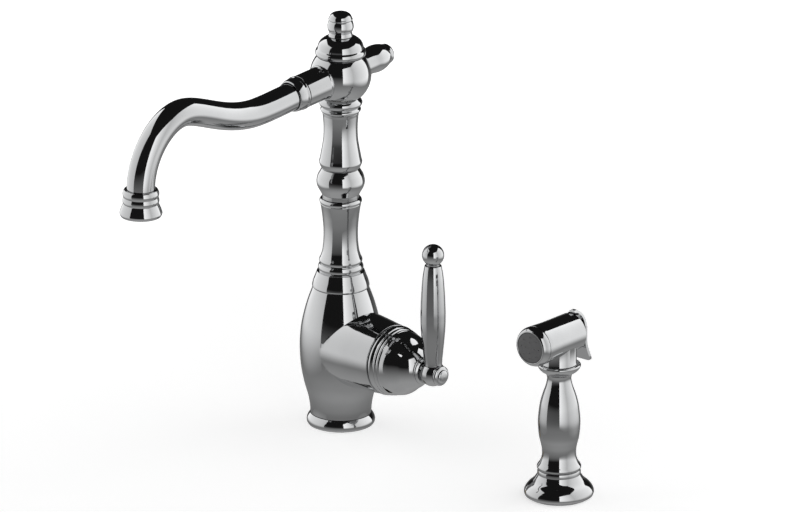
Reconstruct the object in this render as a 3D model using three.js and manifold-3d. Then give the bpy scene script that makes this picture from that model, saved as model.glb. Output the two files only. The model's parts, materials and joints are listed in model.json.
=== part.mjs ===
// A column kitchen faucet with a side lever, and its side spray in a deck holder.
// Millimetres, +Z up. The origin is on the deck at the middle of the faucet's base.
// -Y is the front, where the spout reaches, and +X is the side of the lever and of the spray.

import * as THREE from "three";
import { mergeVertices } from "three/addons/utils/BufferGeometryUtils.js";
import Module from "manifold-3d";

const wasm = await Module();
wasm.setup();

// ---- Clearances and facets ----
const GAP = 0.3; // between pieces that touch
const LOOSE = 0.6; // round what lifts out or swings
const OVERRUN = 1; // how far a cutting shape runs past the face that it cuts
const SIDES = 12; // facets round a large turned piece
const FINE = 12; // facets round a small one
const BORE = 8; // facets round a hole or a pin

// ---- Deck fixing ----
const DECK = 30;
const SHANK_R = 16.5;
const SHANK_WALL = 3;
const SHANK_BELOW = 28; // below the deck
const SHANK_IN_BODY = 15;
const GASKET_T = 1.7;
const GASKET_W = 5.4;
const GASKET_R = 23; // at its middle
const WASHER_R = 29;
const RUBBER_T = 3;
const STEEL_T = 2;
const NUT_R = 25;
const NUT_H = 9;

// ---- Column, from the flange up ----
const FLANGE_H = 9.5;
const FLANGE_R = 28.7;
const FOOT_R = 25.6;
const BODY_H = 111.2;
const VASE_R = 34.5;
const SHOULDER_R = 23.5;
const LOWER_H = 78;
const LOWER_R = 24.1;
const WAIST_R = 14.4;
const KNOP_H = 26;
const KNOP_R = 20.3;
const UPPER_H = 49.4;
const UPPER_R = 18.1;
const COLLAR_H = 13;
const COLLAR_R = 18.3;
const WATER_R = 7.5; // the water way up the column
const SPIGOT_R = 10; // each column piece plugs into the one below
const SPIGOT_L = 7;

// ---- Water ways and diverter in the body ----
const PORT_R = 4;
const PORT_AT = 8; // from the axis
const INLET_ANGLE = 60; // of the cold and hot ports, each side of +X
const PASSAGE_R = 3.5;
const MIXED_RISE = 12; // of the mixed water's way, above the valve's axis
const NIPPLE_WALL = 1.7;
const NIPPLE_COLLAR_R = 5;
const NIPPLE_COLLAR_H = 4;
const NIPPLE_IN = 8;
const NIPPLE_OUT = 12;
const SEAT_RISE = 26; // of the diverter's seat, above the valve's axis
const SEAT_T = 3;
const SEAT_BORE = 4;
const POPPET_R = 6;
const POPPET_T = 2.7;
const POPPET_STEM_R = 2.5;
const POPPET_STEM_L = 9;

// ---- Swivel, hub, dome and finial ----
const SWIVEL_T = 1.2;
const SWIVEL_R = 15;
const SWIVEL_BORE = 6;
const O_RING_R = 0.9; // half its thickness
const GROOVE_W = 2.6;
const GROOVE_DEPTH = 1.9;
const HUB_R = 25.8;
const HUB_DROP = 17.8; // from the hub's centre to its foot
const HUB_RISE = 16.4; // and to its top
const CHAMBER_R = 16;
const CHAMBER_H = 15;
const RECESS_R = 17.3; // in the hub's top
const RECESS_DEPTH = 3;
const THRUST_R = 14;
const THRUST_T = 1.5;
const STUD_R = 4;
const HUB_NUT_R = 8;
const HUB_NUT_H = 4;
const DOME_H = 17.2;
const DOME_R = 21.3;
const DOME_TOP_R = 9.5;
const DOME_CAVITY_R = 15.5;
const DOME_CAVITY_H = 9.7;
const FINIAL_H = 20.6;
const FINIAL_R = 11.1;
const FINIAL_STUD_L = 6;
const CROSS_TILT = 5.5; // degrees that the hub's cross axis drops to the front
const KNOB_FROM = 24; // behind the hub's centre, along the cross axis
const KNOB_L = 34.5;
const KNOB_R = 11.7;
const KNOB_STUD_R = 5;
const KNOB_STUD_L = 6;

// ---- Spout ----
const ARM_R = 14.2;
const ARM_BORE = 9.5;
const ARM_L = 48.5;
const ARM_RING_R = 15;
const ARM_RING_W = 3;
const ARM_RING_AT = 21;
const SLEEVE_L = 11;
const SLEEVE_R = 14.7;
const TUBE_R = 11.8;
const TUBE_WALL = 1.5;
const TUBE_SIDES = 12;
const TUBE_STEPS = 24;
const TROUGH_REACH = 101.4; // the tube's low point, forward of the column
const TROUGH_DROP = 9.8; // and below the hub's centre
const CREST_REACH = 186;
const CREST_RISE = 10.7;
const SPOUT_REACH = 233.4; // the outlet
const BEND_DROP = 45.2; // where the last bend ends, below the hub's centre
const TUBE_DROP = 58; // and the tube itself
const BELL_H = 23;
const BELL_BELOW = 9.5; // below the tube's end
const BELL_R = 17.8;
const BELL_RING_R = 15.4;
const LEDGE_T = 1;
const AERATOR_R = 13.4;
const AERATOR_H = 5.8;
const AERATOR_HOLE_R = 1.3;
const AERATOR_WASHER_T = 1.2;

// ---- Side valve, along +X ----
const VALVE_Z = 70.3;
const HOUSING_FROM = 8;
const HOUSING_END = 60;
const HOUSING_R = 33.4;
const HOUSING_END_R = 29.8;
const THREAD_R = 24;
const THREAD_L = 10;
const VALVE_FLOOR = 38;
const CART_R = 18;
const CART_WALL = 2.5;
const CART_LIP_T = 2.4;
const CART_NECK_R = 13.5;
const CART_NECK_L = 8;
const PLATE_T = 5.7;
const DISC_T = 4;
const DISC_R = 10.4;
const DISC_HOLE_R = 2.6;
const POCKET_R = 7.5; // in the moving disc's face
const POCKET_RISE = 1;
const POCKET_DEPTH = 2;
const DRIVER_L = 15.1;
const CARRIER_T = 3;
const CARRIER_NECK_R = 10.5;
const CARRIER_NECK_L = 14.7;
const PIVOT_RISE = 7.7; // of the lever's pivot, past the carrier's flange
const SLOT_W = 8.6;
const SLOT_H = 15;
const PIVOT_PIN_R = 1.5;
const BEAD_R = 30;
const BEADS_L = 12; // three beads together
const DOME_SHOULDER_R = 27.4;
const ROUND_R = 21.6; // the bonnet's round end, about the lever's pivot
const ROUND_WALL = 3;
const ROUND_FROM = 9; // past the pivot

// ---- Lever ----
const TIP_MAX = 16; // degrees that the lever tips outward
const TURN_MAX = 45; // degrees that it turns each way
const STEM_R = 4;
const STEM_HUB_R = 3.5;
const STEM_HUB_BACK = 4;
const STEM_HUB_FRONT = 5;
const STEM_FULL = 8.5; // past the pivot, where the stem is full size
const STEM_ARM = 15; // from the pivot back to the tip ball
const STEM_ARM_R = 1.6;
const STEM_TIP_R = 2.7;
const STEM_PAST = 4.2; // past the lever ball's centre
const SKIRT_R = 12.2; // the ringed skirt that rides on the bonnet's round end
const LEVER_REACH = 30.1; // of the lever ball, past the pivot
const LEVER_BALL_R = 10.8;
const BALL_INNER_FLAT = 5.6;
const BALL_OUTER_FLAT = 7.4;
const BALL_TOP_FLAT = 7.5;
const BUTTON_R = 8.5;
const BUTTON_H = 5.9;
const BUTTON_STUD_R = 3;
const BUTTON_STUD_L = 2.6;
const GRIP_H = 87.8;
const GRIP_R = 10.5;
const GRIP_FOOT_R = 7.6;
const GRIP_TOP_R = 7.1;
const GRIP_STUD_R = 4.7;
const GRIP_STUD_L = 2;
const TOP_BALL_R = 9.3;
const TOP_BALL_RISE = 8.8; // of its centre, above its foot
const TOP_FOOT_R = 5.8;
const TOP_STUD_R = 2.5;
const TOP_STUD_L = 8;
const SCREW_R = 2;
const SCREW_SOCKET_R = 1;
const SCREW_SOCKET_DEPTH = 1.6;

// ---- Side spray: holder in the deck ----
const SPRAY_X = 257;
const SPRAY_TURN = 5; // degrees that its head is turned towards +X
const HOLDER_H = 23.8;
const HOLDER_R = 29.2;
const HOLDER_TOP_R = 18.2;
const HOLDER_BORE = 13.2;
const HOLDER_SHANK_R = 15.5;
const HOLDER_BELOW = 16; // below the deck
const HOLDER_GASKET_R = 20.6;
const HOLDER_WASHER_R = 25;
const HOLDER_NUT_R = 22;
const HOLDER_NUT_H = 8;

// ---- Side spray: handle and neck ----
const HANDLE_H = 83.4;
const HANDLE_R = 17.7;
const HANDLE_LIP_R = 18.4;
const HANDLE_WAIST_R = 14.2;
const HANDLE_NECK_R = 10.1;
const HANDLE_SPIGOT_L = 16.1;
const HANDLE_BORE = 5;
const COUPLING_R = 9.5;
const COUPLING_L = 19.7;
const COUPLING_BORE = 3;
const COUPLING_NIPPLE_L = 12;
const NECK_H = 8.8;
const NECK_R = 18.1;
const NECK_PLUG_R = 6.7; // the neck ring's plug in the handle
const NECK_PLUG_L = 6;
const STUB_R = 14.5;
const STUB_PLUG_R = 7.2; // the head's plug in the neck ring
const STUB_PLUG_L = 6;

// ---- Side spray: head, nozzle and valve ----
const HEAD_RISE = 23.3; // of the head's axis, above its stub's foot
const HEAD_R = 16.2;
const HEAD_FRONT_R = 17;
const HEAD_FRONT = 31; // forward of the handle's axis
const HEAD_BACK = 16.5;
const HEAD_BORE = 13;
const BACK_BORE = 9.3;
const WEB_FRONT = 9; // the web between the two bores
const WEB_T = 3;
const NOZZLE_L = 6.9;
const NOZZLE_LIP_R = 14;
const NOZZLE_SPIGOT_L = 7;
const NOZZLE_BORE = 10.8;
const FACE_R = 12.9;
const FACE_T = 3.4;
const FACE_DOME = 0.6;
const FACE_HOLE_R = 0.45;
const FACE_RINGS = [[4, 4.6], [8, 9.2]]; // how many holes, and their distance from the middle
const BACK_CAP_R = 10.4;
const BACK_CAP_T = 1.6;
const BACK_CAP_DOME = 0.8;
const BACK_PLUG_L = 3;
const PLUNGER_R = 1.5;
const PLUNGER_DROP = 4; // of its axis, below the head's
const PLUNGER_SHOULDER_R = 3.7;
const PLUNGER_SHOULDER_AT = 4; // behind the handle's axis
const PLUNGER_SHOULDER_T = 1.2;
const VALVE_DISC_R = 5;
const VALVE_DISC_T = 2;
const VALVE_PORT_R = 2.4;
const SPRING_R = 3;
const SPRING_WIRE_R = 0.35;
const SPRING_TURNS = 5;

// ---- Side spray: trigger ----
const TRIGGER_T = 2.4;
const TRIGGER_HALF_W = 10;
const TRIGGER_BACK = 23.2; // of its flat back's middle, behind the handle's axis
const TRIGGER_TOP = 19.4; // above the head's axis
const TRIGGER_BEND = 9; // where it bends out, below the head's axis
const TRIGGER_FOOT = 28; // its lowest point, below the head's axis
const TRIGGER_KICK = 6.8; // how far back its foot stands out
const TRIGGER_PIN_R = 1.25;
const TRIGGER_PIN_BACK = 19; // behind the handle's axis
const TRIGGER_PIN_RISE = 13.2; // above the head's axis
const KNUCKLE_R = 2.2; // round the pin
const LUG_W = 5.6;
const EAR_T = 2.4;

// ---- Finishes ----
const finish = (color, roughness, metalness) =>
  new THREE.MeshStandardMaterial({ color, roughness, metalness });
const POLISHED = finish(0x8a8d90, 0.1, 1);
const BRASS = finish(0xb59a5a, 0.35, 1);
const STEEL = finish(0x9a9c9e, 0.4, 1);
const RUBBER = finish(0x1c1c1c, 0.9, 0);
const PLASTIC = finish(0xd8d6d0, 0.5, 0);
const CERAMIC = finish(0xe9e4d8, 0.3, 0);
const GREY_FACE = finish(0x6c6d6e, 0.45, 0);

// ---- Shape helpers ----

// Welds a geometry's vertices, drops its empty triangles and turns its faces outwards.
function closed(geometry) {
  const loose = new THREE.BufferGeometry();
  const flat = geometry.index ? geometry.toNonIndexed() : geometry;
  loose.setAttribute("position", flat.getAttribute("position").clone());
  const welded = mergeVertices(loose, 1e-4);
  const at = (i) => new THREE.Vector3().fromBufferAttribute(welded.getAttribute("position"), i);
  const from = welded.index.array;
  const kept = [];
  let volume = 0;
  for (let i = 0; i < from.length; i += 3) {
    const [a, b, c] = [from[i], from[i + 1], from[i + 2]];
    if (a === b || b === c || c === a) continue;
    kept.push(a, b, c);
    volume += at(a).dot(at(b).cross(at(c)));
  }
  welded.setIndex(volume < 0 ? kept.reverse() : kept);
  return welded;
}

function toSolid(geometry) {
  const mesh = closed(geometry);
  const vertProperties = mesh.getAttribute("position").array;
  const triVerts = new Uint32Array(mesh.index.array);
  return new wasm.Manifold(new wasm.Mesh({ numProp: 3, vertProperties, triVerts }));
}

function toGeometry(solid) {
  const mesh = solid.getMesh();
  const geometry = new THREE.BufferGeometry();
  geometry.setAttribute("position", new THREE.BufferAttribute(mesh.vertProperties, 3));
  geometry.setIndex(Array.from(mesh.triVerts));
  return geometry;
}

function join(first, ...others) {
  return toGeometry(others.reduce((whole, next) => whole.add(toSolid(next)), toSolid(first)));
}

function cut(first, ...tools) {
  return toGeometry(tools.reduce((rest, tool) => rest.subtract(toSolid(tool)), toSolid(first)));
}

function overlap(first, second) {
  return toGeometry(toSolid(first).intersect(toSolid(second)));
}

// Turns an outline of [radius, height] points about +Z. One that leaves the axis closes on itself.
function turned(outline, sides = SIDES) {
  const points = outline.map(([r, z]) => new THREE.Vector2(r, z));
  const onAxis = points[0].x === 0 && points[points.length - 1].x === 0;
  if (!onAxis) points.push(points[0].clone());
  return closed(new THREE.LatheGeometry(points, sides).rotateX(Math.PI / 2));
}

function rod(radius, from, to, sides = BORE) {
  return turned([[0, from], [radius, from], [radius, to], [0, to]], sides);
}

function ring(inner, outer, from, to, sides = SIDES) {
  return turned([[inner, from], [outer, from], [outer, to], [inner, to]], sides);
}

function hexagon(radius, bore, from, to) {
  return cut(rod(radius, from, to, 6), rod(bore, from - OVERRUN, to + OVERRUN, SIDES));
}

function block(x0, x1, y0, y1, z0, z1) {
  const box = new THREE.BoxGeometry(x1 - x0, y1 - y0, z1 - z0);
  return box.translate((x0 + x1) / 2, (y0 + y1) / 2, (z0 + z1) / 2);
}

// Points on a sphere's outline, from one height to another.
function arc(radius, from, to, steps) {
  const [start, end] = [Math.asin(from / radius), Math.asin(to / radius)];
  const points = [];
  for (let i = 0; i <= steps; i += 1) {
    const angle = start + ((end - start) * i) / steps;
    points.push([radius * Math.cos(angle), radius * Math.sin(angle)]);
  }
  return points;
}

// A smooth run of outline points through a few given ones.
function smooth(points, count) {
  const spline = new THREE.SplineCurve(points.map(([r, z]) => new THREE.Vector2(r, z)));
  return spline.getPoints(count).map((p) => [p.x, p.y]);
}

// A round bead on an outline. Its top stands at the radius, and its feet lie lower by its bulge.
function bead(radius, bulge, from, to, steps = 2) {
  const points = [];
  for (let i = 0; i <= steps; i += 1) {
    const t = i / steps;
    points.push([radius - bulge + bulge * Math.sin(Math.PI * t), from + (to - from) * t]);
  }
  return points;
}

// Outline points given as [radius, share of the piece's own height].
const shares = (points, base, height) => points.map(([r, t]) => [r, base + t * height]);

function circle(radius, sides) {
  const points = [];
  for (let i = 0; i < sides; i += 1) {
    const angle = (2 * Math.PI * i) / sides;
    points.push(new THREE.Vector2(radius * Math.cos(angle), radius * Math.sin(angle)));
  }
  return points;
}

const radians = (degrees) => (degrees * Math.PI) / 180;
const alongX = (geometry) => geometry.clone().rotateY(Math.PI / 2);
const alongY = (geometry) => geometry.clone().rotateX(-Math.PI / 2);
const forward = (geometry, drop = 0) => geometry.clone().rotateX(Math.PI / 2 + radians(drop));
const moved = (geometry, x, y, z) => geometry.clone().translate(x, y, z);

function add(parent, name, geometry, material) {
  const mesh = new THREE.Mesh(geometry, material.clone());
  mesh.name = name;
  parent.add(mesh);
  return mesh;
}

function placed(parent, x, y, z) {
  const group = new THREE.Group();
  group.position.set(x, y, z);
  parent.add(group);
  return group;
}

// ---- Heights up the column, each from the one below ----
const BODY_Z = FLANGE_H + GAP;
const BODY_TOP = BODY_Z + BODY_H;
const LOWER_Z = BODY_TOP + GAP;
const KNOP_Z = LOWER_Z + LOWER_H + GAP;
const UPPER_Z = KNOP_Z + KNOP_H + GAP;
const COLLAR_Z = UPPER_Z + UPPER_H + GAP;
const SWIVEL_Z = COLLAR_Z + COLLAR_H + GAP;
const HUB_FOOT_Z = SWIVEL_Z + SWIVEL_T + GAP;
const HUB_Z = HUB_FOOT_Z + HUB_DROP;

// ---- Faucet: fixing to the deck ----
const SHANK_HOLE = SHANK_R + GAP;
const SHANK_TOP = BODY_Z + SHANK_IN_BODY;
const SOCKET_ROOF = SHANK_TOP + GAP;

// A groove for a gasket in a flat underside, as part of an outline that runs outwards.
function gasketGroove(radius) {
  const [inner, outer] = [radius - GASKET_W / 2 - GAP, radius + GASKET_W / 2 + GAP];
  const roof = GASKET_T + GAP;
  return [[inner, 0], [inner, roof], [outer, roof], [outer, 0]];
}

function gasket(radius) {
  return ring(radius - GASKET_W / 2, radius + GASKET_W / 2, 0, GASKET_T);
}

function deckFixing(parent) {
  add(parent, "fixing_shank", ring(SHANK_R - SHANK_WALL, SHANK_R, -DECK - SHANK_BELOW, SHANK_TOP), BRASS);
  add(parent, "base_gasket", gasket(GASKET_R), RUBBER);
  const flange = turned([
    [SHANK_HOLE, 0], ...gasketGroove(GASKET_R), [FLANGE_R - 1.2, 0],
    ...shares([[FLANGE_R - 0.2, 0.17], [FLANGE_R, 0.4], [FLANGE_R - 0.5, 0.62], [FLANGE_R - 1.7, 0.84]],
      0, FLANGE_H),
    [FOOT_R + 0.3, FLANGE_H], [SHANK_HOLE, FLANGE_H],
  ]);
  add(parent, "base_flange", flange, POLISHED);
  const steelTop = -DECK - RUBBER_T - GAP;
  const nutTop = steelTop - STEEL_T - GAP;
  add(parent, "rubber_washer", ring(SHANK_HOLE, WASHER_R, -DECK - RUBBER_T, -DECK), RUBBER);
  add(parent, "steel_washer", ring(SHANK_HOLE, WASHER_R, steelTop - STEEL_T, steelTop), STEEL);
  add(parent, "mounting_nut", hexagon(NUT_R, SHANK_HOLE, nutTop - NUT_H, nutTop), BRASS);
}

// ---- Faucet: body, a vase with the valve's housing cast on its side ----
const SEAT_Z = VALVE_Z + SEAT_RISE;
const PORTS = [
  { name: "cold", angle: INLET_ANGLE, roof: VALVE_Z },
  { name: "hot", angle: -INLET_ANGLE, roof: VALVE_Z },
  { name: "spray", angle: 180, roof: SEAT_Z - 2 * SEAT_T },
];

for (const port of PORTS) {
  port.x = PORT_AT * Math.cos(radians(port.angle));
  port.y = PORT_AT * Math.sin(radians(port.angle));
}

function bodyOutside() {
  const vase = smooth(shares([
    [FOOT_R, 0], [FOOT_R + 0.4, 0.06], [VASE_R - 6.9, 0.14], [VASE_R - 3.5, 0.25], [VASE_R - 0.9, 0.38],
    [VASE_R, 0.525], [VASE_R - 0.7, 0.65], [VASE_R - 2.6, 0.755], [VASE_R - 6.3, 0.882], [SHOULDER_R, 1],
  ], BODY_Z, BODY_H), 11);
  const housing = shares([
    [HOUSING_R, 0], [HOUSING_R - 0.6, 0.38], [HOUSING_R - 1.7, 0.64], [HOUSING_END_R, 1],
  ], HOUSING_FROM, HOUSING_END - HOUSING_FROM);
  return join(
    turned([[0, BODY_Z], ...vase, [0, BODY_TOP]]),
    moved(alongX(turned([[0, HOUSING_FROM], ...housing, [0, HOUSING_END]])), 0, 0, VALVE_Z),
  );
}

function bodyHollows() {
  const mixedZ = VALVE_Z + MIXED_RISE;
  const threadFloor = HOUSING_END - THREAD_L - GAP;
  const risers = PORTS.map(({ x, y, roof }) => moved(rod(PORT_R, SOCKET_ROOF - OVERRUN, roof), x, y, 0));
  const crossings = PORTS.slice(0, 2).map(({ x, y }) =>
    moved(alongX(rod(PASSAGE_R, x, VALVE_FLOOR + OVERRUN)), 0, y, VALVE_Z));
  return [
    rod(SHANK_HOLE, BODY_Z - OVERRUN, SOCKET_ROOF, SIDES),
    rod(WATER_R, mixedZ - PASSAGE_R - OVERRUN, BODY_TOP + OVERRUN, FINE),
    rod(SPIGOT_R + GAP, BODY_TOP - SPIGOT_L - GAP, BODY_TOP + OVERRUN, SIDES),
    moved(alongX(rod(PASSAGE_R, 0, VALVE_FLOOR + OVERRUN)), 0, 0, mixedZ),
    moved(alongX(rod(CART_R + GAP, VALVE_FLOOR, HOUSING_END + OVERRUN, SIDES)), 0, 0, VALVE_Z),
    moved(alongX(rod(THREAD_R + GAP, threadFloor, HOUSING_END + OVERRUN, SIDES)), 0, 0, VALVE_Z),
    ...risers,
    ...crossings,
  ];
}

function hoseNipple() {
  const collarTop = SOCKET_ROOF - GAP;
  const [inner, outer] = [PORT_R - GAP - NIPPLE_WALL, PORT_R - GAP];
  return turned([
    [inner, collarTop - NIPPLE_OUT], [outer, collarTop - NIPPLE_OUT], [outer, collarTop - NIPPLE_COLLAR_H],
    [NIPPLE_COLLAR_R, collarTop - NIPPLE_COLLAR_H], [NIPPLE_COLLAR_R, collarTop], [outer, collarTop],
    [outer, collarTop + NIPPLE_IN], [inner, collarTop + NIPPLE_IN],
  ], BORE);
}

function body(parent) {
  add(parent, "faucet_body", cut(bodyOutside(), ...bodyHollows()), POLISHED);
  for (const { name, x, y } of PORTS) {
    add(placed(parent, x, y, 0), name + "_nipple", hoseNipple(), BRASS);
  }
  add(parent, "diverter_seat", ring(SEAT_BORE, WATER_R - GAP, SEAT_Z - SEAT_T, SEAT_Z, FINE), BRASS);
  const poppetZ = SEAT_Z + GAP;
  const poppet = turned([
    [0, SEAT_Z - POPPET_STEM_L], [POPPET_STEM_R, SEAT_Z - POPPET_STEM_L], [POPPET_STEM_R, poppetZ],
    [POPPET_R, poppetZ], [POPPET_R, poppetZ + POPPET_T], [0, poppetZ + POPPET_T],
  ], FINE);
  add(parent, "diverter_poppet", poppet, PLASTIC);
}

// ---- Faucet: column pieces, each with a spigot below and a socket above ----
function columnPiece(parent, name, outside, base, height) {
  const top = base + height;
  const socketFloor = top - SPIGOT_L - GAP;
  const outline = [
    [WATER_R, base - SPIGOT_L], [SPIGOT_R, base - SPIGOT_L], [SPIGOT_R, base],
    ...outside,
    [SPIGOT_R + GAP, top], [SPIGOT_R + GAP, socketFloor], [WATER_R, socketFloor],
  ];
  add(parent, name, turned(outline), POLISHED);
}

function column(parent) {
  const [footTop, beadMiddle, beadTop] = [0.175, 0.26, 0.335].map((t) => LOWER_Z + t * LOWER_H);
  const lipFoot = LOWER_Z + 0.94 * LOWER_H;
  columnPiece(parent, "lower_column", [
    [LOWER_R - 0.3, LOWER_Z], [LOWER_R, LOWER_Z + 1.6],
    ...smooth([[LOWER_R - 1.2, LOWER_Z + 0.078 * LOWER_H], [WAIST_R + 7.1, LOWER_Z + 0.123 * LOWER_H],
      [WAIST_R + 5.6, footTop]], 2),
    ...bead(WAIST_R + 4.7, 1.2, footTop + GAP, beadMiddle),
    ...bead(WAIST_R + 3.8, 1.1, beadMiddle + GAP, beadTop),
    ...smooth(shares([[WAIST_R + 1.9, 0.365], [WAIST_R + 0.9, 0.42], [WAIST_R + 0.1, 0.53],
      [WAIST_R + 0.1, 0.66], [WAIST_R + 0.9, 0.78], [WAIST_R + 1.8, 0.87]], LOWER_Z, LOWER_H), 5),
    [WAIST_R + 2.7, lipFoot],
    ...bead(WAIST_R + 3.5, 1, lipFoot + GAP, LOWER_Z + LOWER_H),
  ], LOWER_Z, LOWER_H);

  columnPiece(parent, "column_knop", [
    [WAIST_R + 1.3, KNOP_Z], [WAIST_R + 1.3, KNOP_Z + 0.13 * KNOP_H],
    ...smooth(shares([[KNOP_R - 2.4, 0.28], [KNOP_R - 0.7, 0.41], [KNOP_R, 0.56], [KNOP_R - 0.9, 0.75],
      [KNOP_R - 2.6, 0.88], [KNOP_R - 4.5, 1]], KNOP_Z, KNOP_H), 6),
  ], KNOP_Z, KNOP_H);

  columnPiece(parent, "upper_column", [
    [UPPER_R - 2.2, UPPER_Z],
    ...smooth(shares([[UPPER_R - 1.1, 0.04], [UPPER_R, 0.11], [UPPER_R - 0.7, 0.18], [WAIST_R + 1.1, 0.39],
      [WAIST_R + 0.1, 0.54], [WAIST_R - 0.1, 0.75], [WAIST_R + 0.7, 0.96]], UPPER_Z, UPPER_H), 8),
    [WAIST_R + 1.2, UPPER_Z + UPPER_H],
  ], UPPER_Z, UPPER_H);

  columnPiece(parent, "column_collar", [
    ...bead(COLLAR_R - 1.2, 1.3, COLLAR_Z, COLLAR_Z + 0.32 * COLLAR_H),
    ...bead(COLLAR_R, 1.9, COLLAR_Z + 0.36 * COLLAR_H, COLLAR_Z + 0.9 * COLLAR_H, 3),
    [SWIVEL_R + 0.4, COLLAR_Z + COLLAR_H],
  ], COLLAR_Z, COLLAR_H);
}

// ---- Faucet: swivel, a tube fixed in the collar that carries the turning hub ----
const HUB_BORE = SPIGOT_R + LOOSE;
const HUB_TOP_Z = HUB_Z + HUB_RISE;
const DOME_Z = HUB_TOP_Z + GAP;
const FINIAL_Z = DOME_Z + DOME_H + GAP;
const RECESS_Z = HUB_TOP_Z - RECESS_DEPTH;
const THRUST_Z = RECESS_Z + GAP;
const HUB_NUT_Z = THRUST_Z + THRUST_T + GAP;
const CHAMBER_TOP = HUB_Z + CHAMBER_H / 2;
const LOWER_O_RING_Z = (HUB_FOOT_Z + HUB_Z - CHAMBER_H / 2) / 2;
const UPPER_O_RING_Z = (CHAMBER_TOP + RECESS_Z) / 2;

function oRing(z) {
  const middle = SPIGOT_R - GROOVE_DEPTH + O_RING_R + GAP / 2;
  return turned(circle(O_RING_R, 6).map((p) => [middle + p.x, z + p.y]));
}

function groove(z) {
  const [low, high, floor] = [z - GROOVE_W / 2, z + GROOVE_W / 2, SPIGOT_R - GROOVE_DEPTH];
  return [[SPIGOT_R, low], [floor, low], [floor, high], [SPIGOT_R, high]];
}

function swivel(parent) {
  const foot = COLLAR_Z + COLLAR_H - SPIGOT_L;
  const tip = HUB_NUT_Z + HUB_NUT_H + OVERRUN;
  const tube = turned([
    [SWIVEL_BORE, foot], [SPIGOT_R, foot], ...groove(LOWER_O_RING_Z), ...groove(UPPER_O_RING_Z),
    [SPIGOT_R, RECESS_Z], [STUD_R, RECESS_Z], [STUD_R, tip], [0, tip], [0, CHAMBER_TOP],
    [SWIVEL_BORE, CHAMBER_TOP],
  ]);
  const ports = rod(PASSAGE_R, -SPIGOT_R - OVERRUN, SPIGOT_R + OVERRUN);
  const ported = cut(tube, moved(alongX(ports), 0, 0, HUB_Z), moved(alongY(ports), 0, 0, HUB_Z));
  add(parent, "swivel_tube", ported, BRASS);
  add(parent, "lower_o_ring", oRing(LOWER_O_RING_Z), RUBBER);
  add(parent, "upper_o_ring", oRing(UPPER_O_RING_Z), RUBBER);
  add(parent, "swivel_washer", ring(HUB_BORE, SWIVEL_R, SWIVEL_Z, SWIVEL_Z + SWIVEL_T), PLASTIC);
  add(parent, "thrust_washer", ring(STUD_R + GAP, THRUST_R, THRUST_Z, THRUST_Z + THRUST_T), PLASTIC);
  add(parent, "hub_nut", hexagon(HUB_NUT_R, STUD_R + GAP, HUB_NUT_Z, HUB_NUT_Z + HUB_NUT_H), BRASS);
}

// ---- Faucet: the turning hub with its arm, dome, finial and rear knob ----
function hub(parent) {
  const centre = placed(parent, 0, 0, HUB_Z);
  const across = (geometry) => forward(geometry, CROSS_TILT);
  const globe = turned([[0, -HUB_DROP], ...arc(HUB_R, -HUB_DROP, HUB_RISE, 8), [0, HUB_RISE]]);
  const arm = across(turned([
    [0, 0], [ARM_R, 0], [ARM_R, ARM_RING_AT],
    ...bead(ARM_RING_R, ARM_RING_R - ARM_R, ARM_RING_AT + GAP, ARM_RING_AT + GAP + ARM_RING_W),
    [ARM_R, ARM_L], [0, ARM_L],
  ]));
  const knobSeat = KNOB_FROM - GAP;
  const hollowed = cut(
    join(globe, arm),
    rod(HUB_BORE, -HUB_DROP - OVERRUN, HUB_RISE + OVERRUN, SIDES),
    rod(CHAMBER_R, -CHAMBER_H / 2, CHAMBER_H / 2, SIDES),
    rod(RECESS_R, HUB_RISE - RECESS_DEPTH, HUB_RISE + OVERRUN, SIDES),
    across(rod(ARM_BORE, 0, ARM_L + OVERRUN, FINE)),
    across(rod(KNOB_R + OVERRUN, -HUB_R - OVERRUN, -knobSeat, FINE)),
    across(rod(KNOB_STUD_R + GAP, -knobSeat - OVERRUN, -knobSeat + KNOB_STUD_L, FINE)),
  );
  add(centre, "spout_hub", hollowed, POLISHED);

  const knobOutline = shares([
    [KNOB_R - 1.3, 0], [KNOB_R - 0.9, 0.26], [KNOB_R, 0.46], [KNOB_R - 0.7, 0.64], [KNOB_R - 2.2, 0.77],
    [KNOB_R - 3.4, 0.81], [KNOB_R - 3.6, 0.91], [KNOB_R - 6.6, 0.98], [0, 1],
  ], KNOB_FROM, KNOB_L);
  const knob = turned([[0, KNOB_FROM - KNOB_STUD_L + GAP], [KNOB_STUD_R, KNOB_FROM - KNOB_STUD_L + GAP],
    [KNOB_STUD_R, KNOB_FROM], ...knobOutline]);
  add(centre, "rear_knob", knob.rotateX(radians(CROSS_TILT - 90)), POLISHED);
}

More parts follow.
